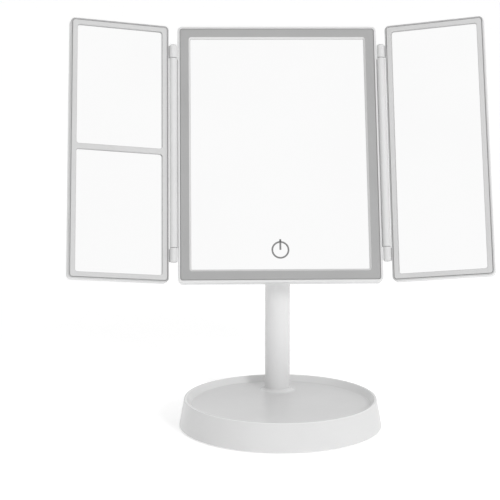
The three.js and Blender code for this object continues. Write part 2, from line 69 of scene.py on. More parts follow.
def rounded_profile(corners: Sequence[tuple[float, float, float]], steps: int = 5, hold: float = 0.15,
                    closed: bool = False) -> Array:
    """A broken line whose corners are arcs: each arc touches both of its straight neighbours.

    The arc's centre lies on the corner's bisector at radius / sin(half angle), and one more point is
    held a little way along each straight side, so that flats next to an arc shade flat.

    Args:
        corners: (a, b, radius) for each corner.
        steps: Facets in an arc.
        hold: Distance of the held points from the arc, in millimetres.
        closed: Whether the line returns to its first corner.

    Returns:
        The (n, 2) points.
    """
    share, least = 0.3, 0.005
    spots = np.array([corner[:2] for corner in corners], float)
    points = []
    for index, (_, _, radius) in enumerate(corners):
        spot = spots[index]
        if radius <= 0 or (not closed and index in (0, len(corners) - 1)):
            points.append(spot)
            continue
        before, after = spots[index - 1] - spot, spots[(index + 1) % len(spots)] - spot
        room = min(np.linalg.norm(before), np.linalg.norm(after))
        before, after = before / np.linalg.norm(before), after / np.linalg.norm(after)
        half = 0.5 * math.acos(float(np.clip(before @ after, -1, 1)))
        reach = radius / math.tan(half)
        centre = spot + (before + after) / np.linalg.norm(before + after) * radius / math.sin(half)
        start, end = spot + before * reach - centre, spot + after * reach - centre
        first = math.atan2(start[1], start[0])
        turn = (math.atan2(end[1], end[0]) - first + math.pi) % (2 * math.pi) - math.pi
        angles = first + turn * np.linspace(0, 1, steps + 1)
        arc = centre + radius * np.stack([np.cos(angles), np.sin(angles)], 1)
        spare = min(hold, share * (room - reach))
        held = [spot + before * (reach + spare), spot + after * (reach + spare)] if spare > least else []
        points += [*held[:1], *arc, *held[1:]]
    return np.array(points)


@dataclass(frozen=True)
class Outline:
    """A rounded rectangle in a panel's plane."""

    width: float
    height: float
    radius: float
    across: float = 0.0
    up: float = 0.0

    def carry(self, inset: Array, depth: Array, arc: int = 6) -> Array:
        """Carry a profile round the outline.

        Each ring is the rectangle drawn in by the profile's inset: its half sides shrink by the inset,
        its corner arcs keep their centres until the radius runs out, and it lies at the profile's depth.
        One more point is held on each side of an arc, up to 0.3 mm away, so that flats beside it shade flat.

        Args:
            inset: Distance inside the outline of each ring.
            depth: Depth of each ring.
            arc: Facets in a corner.

        Returns:
            The (rings, points, 3) grid in panel coordinates.
        """
        least_radius, share, least_held, most_held = 0.02, 0.6, 0.004, 0.3
        radius = np.maximum(self.radius - inset, least_radius)
        centre_x, centre_z = self.width / 2 - inset - radius, self.height / 2 - inset - radius
        quarter = np.linspace(0, math.pi / 2, arc + 1)
        held = np.clip(share * np.minimum(centre_x, centre_z), least_held, most_held)[:, None]
        rows = []
        for corner, (sx, sz) in enumerate(((1, 1), (-1, 1), (-1, -1), (1, -1))):
            angle = quarter + corner * math.pi / 2
            x = (sx * centre_x)[:, None] + radius[:, None] * np.cos(angle)
            z = (sz * centre_z)[:, None] + radius[:, None] * np.sin(angle)
            first, last = angle[0], angle[-1]
            x = np.concatenate([x[:, :1] + math.sin(first) * held, x, x[:, -1:] - math.sin(last) * held], 1)
            z = np.concatenate([z[:, :1] - math.cos(first) * held, z, z[:, -1:] + math.cos(last) * held], 1)
            rows.append(np.stack([x, np.broadcast_to(depth[:, None], x.shape), z], 2))
        grid = np.concatenate(rows, 1)
        return grid + np.array([self.across, 0.0, self.up])


@dataclass
class Surface:
    """Vertices in millimetres and the faces between them, before they become a piece."""

    vertices: Array
    faces: list[list[int]]

    def moved(self, place: Callable[[Array], Array]) -> "Surface":
        """The same surface with every vertex put through a placing function."""
        return Surface(place(self.vertices), self.faces)


def skin(grid: Array, wrap_rows: bool = False, start: bool = True, end: bool = True,
         flat_ends: bool = False) -> Surface:
    """Close a grid of rings into a surface that faces outwards.

    Neighbouring rings are joined by quads; an end ring is closed by a fan to its middle, or the last
    ring is joined to the first. If the enclosed volume, the sum of p . (q x r) / 6 over the faces'
    triangles, comes out negative, every face is turned over.

    Args:
        grid: (rings, points, 3) positions.
        wrap_rows: Whether the last ring joins the first, as in a frame.
        start: Whether the first ring is closed.
        end: Whether the last ring is closed.
        flat_ends: Whether each end is closed by one flat face and each quad is halved, for outlines that
            a fan doesn't suit and whose quads twist.

    Returns:
        The surface.
    """
    rows, cols = grid.shape[:2]
    vertices = grid.reshape(-1, 3)
    index = np.arange(rows * cols).reshape(rows, cols)
    lower, upper = (index, np.roll(index, -1, 0)) if wrap_rows else (index[:-1], index[1:])
    quads = np.stack([lower, np.roll(lower, -1, 1), np.roll(upper, -1, 1), upper], 2).reshape(-1, 4)
    triangles = [quads[:, [0, 1, 2]], quads[:, [0, 2, 3]]]
    fans = []
    ends = [] if wrap_rows else [(start, index[0], True), (end, index[-1], False)]
    for wanted, ring, flip in ends:
        if wanted:
            pole = np.full(cols, len(vertices))
            vertices = np.concatenate([vertices, vertices[ring].mean(0)[None]])
            pair = [np.roll(ring, -1), ring] if flip else [ring, np.roll(ring, -1)]
            fans.append(np.stack([*pair, pole], 1))
    p, q, r = (vertices[np.concatenate(triangles + fans)[:, i]] for i in range(3))
    turn = -1 if (p * np.cross(q, r)).sum() < 0 else 1
    faces = quads[:, ::turn].tolist()
    if flat_ends:
        halves = np.concatenate(triangles)[:, ::turn].tolist()
        caps = [index[0][::-1], index[-1]]
        return Surface(grid.reshape(-1, 3), halves + [cap[::turn].tolist() for cap in caps])
    for fan in fans:
        faces += fan[:, ::turn].tolist()
    return Surface(vertices, faces)


def turned(corners: Sequence[tuple[float, float, float]], segments: int = 96, closed: bool = False,
           steps: int = 5) -> Surface:
    """Turn a profile about the up axis: x = r cos a, y = r sin a, z = height.

    A profile that starts or ends on the axis has its pole closed by a fan.

    Args:
        corners: (radius, height, corner radius) along the profile.
        segments: Facets round the axis.
        closed: Whether the profile is a closed loop, as in a washer.
        steps: Facets in each rounded corner.

    Returns:
        The surface, about the origin.
    """
    profile = rounded_profile(corners, steps, closed=closed)
    if not closed:
        poles = profile[[0, -1]]
        profile = profile[1:-1]
    angle = np.linspace(0, 2 * math.pi, segments, endpoint=False)
    radius, height = profile[:, :1], profile[:, 1:]
    grid = np.stack([radius * np.cos(angle), radius * np.sin(angle), height + 0 * angle], 2)
    surface = skin(grid, wrap_rows=closed)
    if not closed:
        surface.vertices[-2:] = np.stack([0 * poles[:, 0], 0 * poles[:, 0], poles[:, 1]], 1)
    return surface


def rod(radius: float, low: float, high: float, segments: int = 32, rounding: float = 0.0) -> Surface:
    """A round bar about the up axis, solid or for cutting a bore: its half section turned."""
    return turned([(0, low, 0), (radius, low, rounding), (radius, high, rounding), (0, high, 0)], segments)


def plate(outline: Outline, front: float, back: float, round_front: float, round_back: float,
          steps: int = 4, flat_ends: bool = False) -> Surface:
    """A flat plate with rounded edges: an edge profile carried round its outline, then closed front and back.

    Args:
        outline: The plate's outline.
        front: Depth of its front.
        back: Depth of its back.
        round_front: Radius of the front edge.
        round_back: Radius of the back edge.
        steps: Facets in each rounded edge.
        flat_ends: Whether front and back are single faces, for a plate whose middle is cut.

    Returns:
        The surface in panel coordinates.
    """
    reach = max(round_front, round_back) * 1.5 + 0.02
    profile = rounded_profile([(reach, front, 0), (0, front, round_front), (0, back, round_back),
                               (reach, back, 0)], steps)
    return skin(outline.carry(profile[:, 0], profile[:, 1]), flat_ends=flat_ends)


def extruded(outline: Array, low: float, high: float, rounding: float, steps: int = 4) -> Surface:
    """An outline given thickness across, its rims drawn in along the outline's inward normals.

    Args:
        outline: (n, 2) points as (depth, up), counter-clockwise.
        low: Lower end across.
        high: Upper end across.
        rounding: Radius of both rims.
        steps: Facets in a rim.

    Returns:
        The surface in panel coordinates.
    """
    tangent = np.roll(outline, -1, 0) - np.roll(outline, 1, 0)
    tangent /= np.linalg.norm(tangent, axis=1, keepdims=True)
    inward = np.stack([-tangent[:, 1], tangent[:, 0]], 1)
    profile = rounded_profile([(rounding * 1.3, low, 0), (0, low, rounding), (0, high, rounding),
                               (rounding * 1.3, high, 0)], steps)
    flat = outline[None] + inward[None] * profile[:, :1, None]
    across = np.broadcast_to(profile[:, 1][:, None], flat.shape[:2])
    return skin(np.stack([across, flat[..., 0], flat[..., 1]], 2), flat_ends=True)


# ---- Surfaces into pieces ---------------------------------------------------------------------


def raw_mesh(name: str, surface: Surface, scale: float = 1.0) -> bpy.types.Mesh:
    """Put a surface into a new mesh.

    Args:
        name: The mesh's name.
        surface: The surface.
        scale: What its positions are multiplied by.

    Returns:
        The mesh.
    """
    mesh = bpy.data.meshes.new(name)
    mesh.from_pydata((surface.vertices * scale).tolist(), [], surface.faces)
    mesh.update()
    return mesh


def column(items: bpy.types.bpy_prop_collection, name: str, width: int = 1, kind: type = float) -> Array:
    """Read one property of a mesh's vertices, edges, loops or faces.

    Args:
        items: The collection to read from.
        name: The property's name.
        width: How many numbers one value has.
        kind: Their type.

    Returns:
        An array of the values, as rows where a value has more than one number.
    """
    values = np.empty(width * len(items), kind)
    items.foreach_get(name, values)
    return values.reshape(-1, width) if width > 1 else values


def read_back(mesh: bpy.types.Mesh) -> Surface:
    """Read a mesh back into a surface."""
    return Surface(column(mesh.vertices, "co", 3), [list(polygon.vertices) for polygon in mesh.polygons])


def carve(surface: Surface, add: Sequence[Surface] = (), cut: Sequence[Surface] = ()) -> Surface:
    """Join closed surfaces to one, then cut others out of it, with Boolean modifiers.

    Args:
        surface: The body to start from.
        add: Closed surfaces that become one with it.
        cut: Closed surfaces taken away.

    Returns:
        The resulting closed surface.
    """
    scene = bpy.context.scene
    parts = [surface, *add, *cut]
    objects = [bpy.data.objects.new("work", raw_mesh("work", part)) for part in parts]
    for item in objects:
        scene.collection.objects.link(item)
    for index, tool in enumerate(objects[1:]):
        modifier = objects[0].modifiers.new(f"step_{index}", "BOOLEAN")
        modifier.solver = "MANIFOLD"
        modifier.operation = "UNION" if index < len(add) else "DIFFERENCE"
        modifier.object = tool
    depsgraph = bpy.context.evaluated_depsgraph_get()
    result = bpy.data.meshes.new_from_object(objects[0].evaluated_get(depsgraph))
    answer = read_back(result)
    meshes = [item.data for item in objects]
    for item in objects:
        bpy.data.objects.remove(item)
    for mesh in [*meshes, result]:
        bpy.data.meshes.remove(mesh)
    return answer


def mark_edges(mesh: bpy.types.Mesh, soft: float, hard: float) -> None:
    """Write each vertex's "edge" weight: 1 where the surface bends sharply outwards, 0 where it is flat.

    The bend across a mesh edge is the angle between its two faces divided by the distance between their
    middles, counted only where the second face falls behind the first. A vertex takes its largest bend,
    or 0 when it touches a wide face, so that flats stay clean. A face's width is twice its area over its rim.

    Args:
        mesh: A mesh in metres.
        soft: Bend per millimetre below which the weight is 0.
        hard: Bend per millimetre above which the weight is 1.
    """
    least_gap, wide_face = 0.05, 1.5
    normals, centres = (column(mesh.polygons, name, 3) for name in ("normal", "center"))
    loop_edge, corner = (column(mesh.loops, name, 1, int) for name in ("edge_index", "vertex_index"))
    ends = column(mesh.edges, "vertices", 2, int)
    owner = np.repeat(np.arange(len(mesh.polygons)), column(mesh.polygons, "loop_total", 1, int))
    order = np.argsort(loop_edge, kind="stable")
    edges, first, count = np.unique(loop_edge[order], return_index=True, return_counts=True)
    edges, first = edges[count == 2], first[count == 2]
    one, two = owner[order][first], owner[order][first + 1]
    angle = np.arccos(np.clip((normals[one] * normals[two]).sum(1), -1, 1))
    gap = centres[two] - centres[one]
    convex = (gap * normals[one]).sum(1) < 0
    bend = np.where(convex, angle / np.maximum(np.linalg.norm(gap, axis=1) / MM, least_gap), 0)
    value = np.clip((bend - soft) / (hard - soft), 0, 1)
    weight = np.zeros(len(mesh.vertices))
    np.maximum.at(weight, ends[edges].ravel(), np.repeat(value, 2))
    span = np.linalg.norm(np.diff(column(mesh.vertices, "co", 3)[ends], axis=1)[:, 0], axis=1)
    rim = np.bincount(owner, span[loop_edge], len(mesh.polygons))
    wide = 2 * column(mesh.polygons, "area") / rim > wide_face * MM
    weight[corner[wide[owner]]] = 0
    mesh.attributes.new("edge", "FLOAT", "POINT").data.foreach_set("value", weight.astype(np.float32))


def add_piece(name: str, surface: Surface, body: Body, finish: "Finish", replaces: Sequence[str] = (),
              crease: float = 34.0, bend: tuple[float, float] = (0.5, 1.3)) -> bpy.types.Object:
    """Make one finished piece of the mirror and say what it rides on and stands for.

    Args:
        name: The piece's name.
        surface: Its surface in millimetres, in the frame's coordinates.
        body: The body it moves with.
        finish: Its finish.
        replaces: CAD nodes it stands for.
        crease: Angle in degrees past which an edge shades sharp.
        bend: Bends per millimetre between which an edge takes the edge colour: wear on rubber, painted light
            on plastics.

    Returns:
        The object.
    """
    mesh = raw_mesh(name, surface, MM)
    mesh.shade_smooth()
    mesh.set_sharp_from_angle(angle=math.radians(crease))
    mark_edges(mesh, *bend)
    piece = bpy.data.objects.new(name, mesh)
    bpy.context.scene.collection.objects.link(piece)
    mesh.materials.append(finish.material())
    weighted = piece.modifiers.new("flats_stay_flat", "WEIGHTED_NORMAL")
    weighted.keep_sharp = True
    weighted.weight = 80
    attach(piece, body.value)
    if replaces:
        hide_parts(*replaces)
    LOG.info("%s: %d faces, rides %s", name, len(mesh.polygons), body.value)
    return piece


def refinish(piece: bpy.types.Object, finish: "Finish", pick: Callable[[Array, Array], Array]) -> None:
    """Give some of a piece's faces a second finish.

    Args:
        piece: The piece.
        finish: The second finish.
        pick: Takes the faces' middles in millimetres and their normals, and says which faces it covers.
    """
    mesh = piece.data
    mesh.materials.append(finish.material())
    chosen = pick(column(mesh.polygons, "center", 3) / MM, column(mesh.polygons, "normal", 3))
    mesh.polygons.foreach_set("material_index", chosen.astype(np.int32))


def dress(finish: "Finish", *nodes: str) -> None:
    """Give CAD nodes that are kept a finish.

    Args:
        finish: The finish.
        *nodes: The nodes' names.
    """
    for node in nodes:
        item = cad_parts[node]
        item.data.materials.clear()
        item.data.materials.append(finish.material())
        LOG.info("%s: kept, dressed in %s", node, finish.name)


# ---- Finishes ---------------------------------------------------------------------------------


def linear(colour: str) -> tuple[float, float, float, float]:
    """Turn an sRGB hex colour to linear light.

    Args:
        colour: The colour, as #RRGGBB.

    Returns:
        Red, green, blue and a full alpha.
    """
    channels = [int(colour[i : i + 2], 16) / 255 for i in (1, 3, 5)]
    red, green, blue = (c / 12.92 if c <= 0.04045 else ((c + 0.055) / 1.055) ** 2.4 for c in channels)
    return red, green, blue, 1.0


def add_node(tree: bpy.types.NodeTree, kind: str, settings: dict[str, Any] | None = None,
             **inputs: Any) -> bpy.types.Node:
    """Add a node, set its properties, and fill or link its inputs.

    Args:
        tree: The node tree.
        kind: The node's type name.
        settings: Properties of the node.
        **inputs: Values or output sockets by input name, with underscores for spaces, or by input number
            as in_3.

    Returns:
        The node.
    """
    node = tree.nodes.new(kind)
    for key, value in (settings or {}).items():
        setattr(node, key, value)
    for key, value in inputs.items():
        socket = node.inputs[int(key[3:])] if key.startswith("in_") else node.inputs[key.replace("_", " ")]
        if isinstance(value, bpy.types.NodeSocket):
            tree.links.new(value, socket)
        else:
            socket.default_value = value
    return node


class Pattern(Enum):
    """How a surface was made, as far as its fine relief goes."""

    MOULDED = "even grain from a spark-eroded or polished mould"
    BRUSHED = "fine parallel scratches"
    CELLS = "open cells, as in foam"
    TRACKS = "straight copper tracks under lacquer"


@dataclass(frozen=True)
class Finish:
    """A real material and how its surface was made. Lengths are in millimetres."""

    name: str
    slot: str
    colour: str
    mottle: str
    edge: str
    rough: tuple[float, float]
    grain: float
    relief: float
    cloud: float = 24.0
    metallic: float = 0.0
    ior: float = 1.5
    specular: float = 0.5
    subsurface: float = 0.0
    coat: float = 0.0
    edge_strength: float = 1.0
    pattern: Pattern = Pattern.MOULDED

    def relief_height(self, tree: bpy.types.NodeTree, place: bpy.types.NodeSocket) -> bpy.types.NodeSocket:
        """Add the fine relief of this pattern.

        Args:
            tree: The node tree.
            place: Object coordinates.

        Returns:
            The height, from 0 to 1.
        """
        scale = 1.0 / (self.grain * MM)
        if self.pattern is Pattern.BRUSHED:
            stretched = add_node(tree, "ShaderNodeMapping", Vector=place, Scale=(1.0, 1.0, 0.06))
            return add_node(tree, "ShaderNodeTexNoise", Vector=stretched.outputs[0], Scale=scale,
                            Detail=3.0).outputs["Fac"]
        if self.pattern is Pattern.CELLS:
            return add_node(tree, "ShaderNodeTexVoronoi", Vector=place, Scale=scale).outputs["Distance"]
        if self.pattern is Pattern.TRACKS:
            bands = add_node(tree, "ShaderNodeTexWave", Vector=place, Scale=scale / 3, Distortion=0.0)
            return add_node(tree, "ShaderNodeMapRange", Value=bands.outputs["Fac"], From_Min=0.45,
                            From_Max=0.6).outputs["Result"]
        return add_node(tree, "ShaderNodeTexNoise", Vector=place, Scale=scale, Detail=4.0,
                        Roughness=0.6).outputs["Fac"]

    def material(self) -> bpy.types.Material:
        """The Blender material: clouded colour, bent edges tinted (wear, painted highlight, painted shade),
        uneven gloss and fine relief.

        Returns:
            The material, made once for each finish.
        """
        found = bpy.data.materials.get(self.name)
        if found:
            return found
        material = bpy.data.materials.new(self.name)
        material.use_nodes = True
        tree = material.node_tree
        shader = tree.nodes["Principled BSDF"]
        place = add_node(tree, "ShaderNodeTexCoord").outputs["Object"]
        clouds = add_node(tree, "ShaderNodeTexNoise", Vector=place, Scale=1 / (self.cloud * MM), Detail=5.0,
                          Roughness=0.55).outputs["Fac"]
        fine = self.relief_height(tree, place)
        amount = add_node(tree, "ShaderNodeMapRange", Value=clouds, From_Min=0.35,
                          From_Max=0.65).outputs["Result"]
        body = add_node(tree, "ShaderNodeMix", {"data_type": "RGBA"}, Factor=amount, in_6=linear(self.colour),
                        in_7=linear(self.mottle)).outputs[2]
        # The edge tint is wear on the rubber, and painted highlight and painted shade on the plastics and
        # acrylic.
        bent = add_node(tree, "ShaderNodeAttribute", {"attribute_name": "edge"}).outputs["Fac"]
        edge_wear_and_painted_light = add_node(tree, "ShaderNodeMath", {"operation": "MULTIPLY"}, in_0=bent, in_1=self.edge_strength)
        tinted = add_node(tree, "ShaderNodeMix", {"data_type": "RGBA"}, Factor=edge_wear_and_painted_light.outputs[0], in_6=body,
                          in_7=linear(self.edge)).outputs[2]
        both = add_node(tree, "ShaderNodeMath", {"operation": "ADD"}, in_0=clouds, in_1=fine).outputs[0]
        gloss = add_node(tree, "ShaderNodeMapRange", Value=both, From_Min=0.6, From_Max=1.4,
                         To_Min=self.rough[0], To_Max=self.rough[1]).outputs["Result"]
        bump = add_node(tree, "ShaderNodeBump", Strength=1.0, Distance=self.relief * MM, Height=fine)
        tree.links.new(tinted, shader.inputs["Base Color"])
        tree.links.new(gloss, shader.inputs["Roughness"])
        tree.links.new(bump.outputs["Normal"], shader.inputs["Normal"])
        shader.inputs["Metallic"].default_value = self.metallic
        shader.inputs["IOR"].default_value = self.ior
        shader.inputs["Specular IOR Level"].default_value = self.specular
        shader.inputs["Coat Weight"].default_value = self.coat
        if self.subsurface:
            shader.inputs["Subsurface Weight"].default_value = self.subsurface
            shader.inputs["Subsurface Radius"].default_value = (1.0, 0.9, 0.8)
            shader.inputs["Subsurface Scale"].default_value = 1.2 * MM
        return material


# ABS, injection moulded in a lightly textured tool: a clean white with a soft sheen, very slightly uneven
# from the flow of the plastic, and painted paler on its rounded edges: a painted highlight.
WHITE_ABS = Finish("white_moulded_abs", "white_abs", "#DCDCDC", "#D8D8D8", "#E0E0E0", (0.27, 0.35), 1.3,
                   0.012, cloud=55)
# The same ABS in the side panels' thin shells, with soft grey outlines painted where their narrow lips roll
# over: painted shade.
PANEL_ABS = replace(WHITE_ABS, name="panel_moulded_abs", edge="#BEBEBE", rough=(0.3, 0.38))
# The same ABS in the frames round the side mirrors, painted a shade greyer, with grey outlines painted at the
# seams: painted shade.
FRAME_ABS = replace(PANEL_ABS, name="frame_moulded_abs", colour="#D0D0D0", mottle="#CCCCCC", edge="#B8B8B8",
                    relief=0.01)
# The same ABS where the tool is polished: the stem, its flared socket, and the tray's slope and lip. It is
# smoother, and painted brighter with paler edges: painted light for the bounce light and highlights on these
# parts.
POLISHED_PAINTED_LIGHT_ABS = replace(WHITE_ABS, name="polished_painted_light_abs", colour="#E4E4E4", mottle="#E1E1E1",
                       edge="#ECECEC", rough=(0.2, 0.27), relief=0.005)
# ABS, injection moulded and left as it leaves the tool: duller and greyer than the outside.
INNER_ABS = Finish("inner_moulded_abs", "inner_plastic", "#CFCFCD", "#C7C7C5", "#D9D9D7", (0.5, 0.62), 1.0,
                   0.008)
# Acrylic, moulded and blasted on the inside: milky and matt, painted greyer where it turns down at its
# borders: painted shade.
FROSTED_ACRYLIC = Finish("frosted_acrylic", "frosted_diffuser", "#A9A9A9", "#A6A6A6", "#939393", (0.5, 0.6),
                         0.9, 0.008, cloud=40, edge_strength=0.8)
# Acrylic, milled and flame polished: the band's inner slope, clearer than its face, and painted brighter:
# painted light where the slope catches the light.
POLISHED_PAINTED_LIGHT_ACRYLIC = Finish("polished_painted_light_acrylic", "frosted_diffuser", "#D6D6D6", "#D2D2D2", "#C4C4C4",
                          (0.1, 0.16), 1.5, 0.001, cloud=40, edge_strength=0.5)
# Float glass silvered on its back and ground at its edges: a full reflection, grey-green at the ground edge.
SILVERED_GLASS = Finish("silvered_float_glass", "silvered_glass", "#FBFBFB", "#FAFAFA", "#A9B3AE",
                        (0.012, 0.018), 60.0, 0.0, cloud=90, metallic=1.0)
# Screen-printed epoxy ink: flat mid grey with a dry, faintly grainy edge.
PRINTED_INK = Finish("printed_grey_ink", "silvered_glass", "#7F7F7F", "#858585", "#747474", (0.45, 0.6),
                     0.6, 0.002)
# The same ink where the mark's bar crosses its ring, two coats thick: darker.
PRINTED_INK_TWICE = replace(PRINTED_INK, name="printed_grey_ink_twice", colour="#5F5F5F", mottle="#656565",
                            edge="#555555")
# Mild steel, cold headed and zinc plated: bluish silver, slightly cloudy, bright at its corners.
ZINC_STEEL = Finish("zinc_plated_steel", "steel", "#B9BDC2", "#A6ABB1", "#D6D9DC", (0.28, 0.42), 0.8, 0.006,
                    cloud=5, metallic=1.0, pattern=Pattern.BRUSHED)
# Mild steel plate, pressed and phosphated: dark, dry and patchy.
PHOSPHATED_STEEL = Finish("phosphated_steel", "weight_steel", "#55585B", "#45484B", "#7B7E81", (0.5, 0.7),
                          1.2, 0.01, cloud=14, metallic=1.0)
# Natural rubber, compression moulded: matt charcoal that goes greyer where it rubs.
MOULDED_RUBBER = Finish("moulded_rubber", "rubber", "#3A3A3A", "#333333", "#565656", (0.8, 0.95), 0.9, 0.02,
                        cloud=6)
# Glass-epoxy laminate, etched and lacquered: glossy green with tracks showing as low ridges.
ETCHED_BOARD = Finish("lacquered_circuit_board", "circuit_board", "#1F5A3A", "#2C6E49", "#C8B070",
                      (0.25, 0.4), 1.2, 0.02, cloud=8, pattern=Pattern.TRACKS)
# Glass-epoxy laminate, white lacquered to throw light forward.
WHITE_BOARD = Finish("white_lacquered_board", "led_board", "#F0F0EA", "#E6E6DE", "#D8D8CC", (0.3, 0.45), 1.5,
                     0.01, cloud=9, pattern=Pattern.TRACKS)
# Copper foil, rolled: warm metal with faint rolling lines.
ROLLED_COPPER = Finish("rolled_copper_foil", "copper", "#C07A4A", "#A8673C", "#DDA070", (0.3, 0.45), 0.6,
                       0.004, cloud=6, metallic=1.0, pattern=Pattern.BRUSHED)
# Polyethylene foam tape, blown and slit: soft grey-white with open cells.
BLOWN_FOAM = Finish("blown_foam_tape", "adhesive_foam", "#CFCFCF", "#BEBEBE", "#DEDEDE", (0.9, 0.98), 0.8,
                    0.12, cloud=9, pattern=Pattern.CELLS)
# PVC sleeve, heat shrunk: a smooth slate blue skin with slight ripples.
SHRUNK_SLEEVE = Finish("shrunk_pvc_sleeve", "cell_wrap", "#4A6A8C", "#44627F", "#6B88A6", (0.22, 0.34), 3.0,
                       0.02, cloud=12, coat=0.2)
# Nylon 6, moulded: waxy off-white.
MOULDED_NYLON = Finish("moulded_nylon", "nylon", "#E4E1D8", "#DCD8CC", "#EFEDE6", (0.42, 0.55), 1.0, 0.006,
                       cloud=8, subsurface=0.15)


# ---- Places -----------------------------------------------------------------------------------


@dataclass(frozen=True)
class Lean:
    """Where the leaning centre panel stands in the frame."""

    tilt: float = 21.0
    stem_y: float = 44.0
    pivot_height: float = 183.7
    pivot_depth: float = 23.0
    pivot_drop: float = 23.6
    bolt_bore: float = 2.7

    def place(self, points: Array) -> Array:
        """Carry points to the frame: shifted to the pivot, then turned back about the across axis.

        Args:
            points: (n, 3) panel coordinates.

        Returns:
            The points in the frame.
        """
        lean = math.radians(self.tilt)
        depth, up = points[:, 1] - self.pivot_depth, points[:, 2] + self.pivot_drop
        return np.stack([
            points[:, 0],
            self.stem_y + depth * math.cos(lean) + up * math.sin(lean),
            self.pivot_height - depth * math.sin(lean) + up * math.cos(lean),
        ], 1)


@dataclass(frozen=True)
class Hinge:
    """Where a wing's hinge axis lies on the panel, and how far the wing stands open."""

    side: int
    open: float
    across: float = 83.4
    proud: float = 0.5
    barrel_radius: float = 3.1
    pin_bore: float = 1.3

    def place(self, points: Array) -> Array:
        """Carry points to the panel: turned about the up axis and shifted to the hinge.

        Args:
            points: (n, 3) wing coordinates, from the hinge axis.

        Returns:
            The points in panel coordinates.
        """
        turn = -self.side * math.radians(self.open)
        x, y = points[:, 0], points[:, 1]
        return np.stack([
            self.side * self.across + x * math.cos(turn) - y * math.sin(turn),
            -self.proud + x * math.sin(turn) + y * math.cos(turn),
            points[:, 2],
        ], 1)


LEAN = Lean()


def at(x: float = 0, y: float = 0, z: float = 0) -> Callable[[Array], Array]:
    """A placing function that shifts points."""
    return lambda points: points + np.array([x, y, z])


def facing_back(x: float, up: float) -> Callable[[Array], Array]:
    """A placing function that lays an upright shape along the depth, its top to the back."""
    return lambda points: np.stack([points[:, 0] + x, points[:, 2], up - points[:, 1]], 1)


def lying_across(y: float, z: float, flip: int = 1) -> Callable[[Array], Array]:
    """A placing function that lays an upright shape across, its top to +X, or to -X when flipped."""
    return lambda points: np.stack([flip * points[:, 2], y + points[:, 1], z - flip * points[:, 0]], 1)


def head_down(x: float, y: float, z: float) -> Callable[[Array], Array]:
    """A placing function that turns an upright shape over, its top to the floor."""
    return lambda points: points * np.array([1, -1, -1]) + np.array([x, y, z])


def brick(low: tuple[float, float, float], high: tuple[float, float, float]) -> Surface:
    """A rectangular cutter: its four corners, carried from the low depth to the high depth.

    Args:
        low: Lowest position in panel coordinates.
        high: Highest position.

    Returns:
        The cutter.
    """
    (x0, y0, z0), (x1, y1, z1) = low, high
    corners = np.array([[x0, z0], [x1, z0], [x1, z1], [x0, z1]])
    grid = np.stack([np.stack([corners[:, 0], np.full(4, depth), corners[:, 1]], 1) for depth in (y0, y1)])
    return skin(grid)


def on_circle(radius: float, turns: Sequence[float]) -> list[tuple[float, float]]:
    """Places on a circle about the up axis, at turns given in degrees."""
    return [(radius * math.cos(math.radians(turn)), radius * math.sin(math.radians(turn))) for turn in turns]


def cross_cutter(radius: float, top: float, depth: float) -> Surface:
    """A cross-shaped driver recess: a plus outline whose arms narrow as it goes down.

    Args:
        radius: Half the length of an arm.
        top: Height of the head's crown.
        depth: Depth of the recess.

    Returns:
        The cutter, with its axis upright.
    """
    arm, foot_width, flare, clear = 0.3 * radius, 0.55, 0.45, 1.0
    quarter = np.array([[radius, -arm], [radius, arm], [arm, arm]])
    turns = [np.array([[c, -s], [s, c]]) for c, s in ((1, 0), (0, 1), (-1, 0), (0, -1))]
    outline = np.concatenate([quarter @ turn.T for turn in turns])
    levels = np.array([top - depth, top + clear])
    widths = np.array([foot_width, 1.0 + flare / depth])
    grid = np.concatenate([outline[None] * widths[:, None, None],
                           np.broadcast_to(levels[:, None, None], (2, len(outline), 1))], 2)
    return skin(grid)


def pan_screw(radius: float, under: float, top: float, shank: float, tip: float) -> Surface:
    """A pan-head screw with a cross recess: a domed profile turned about its axis, then cut.

    Args:
        radius: Radius of the head.
        under: Height of the head's underside.
        top: Height of its crown.
        shank: Radius of the shank.
        tip: Height of the shank's end.

    Returns:
        The screw, upright.
    """
    head = top - under
    body = turned([(0, tip, 0), (shank, tip, 0.2), (shank, under, 0), (radius, under, 0.1),
                   (radius, top - 0.25 * head, 0.45 * head), (0, top, 0)], 40)
    return carve(body, cut=[cross_cutter(0.62 * radius, top, 0.75 * head)])


# ---- Base -------------------------------------------------------------------------------------


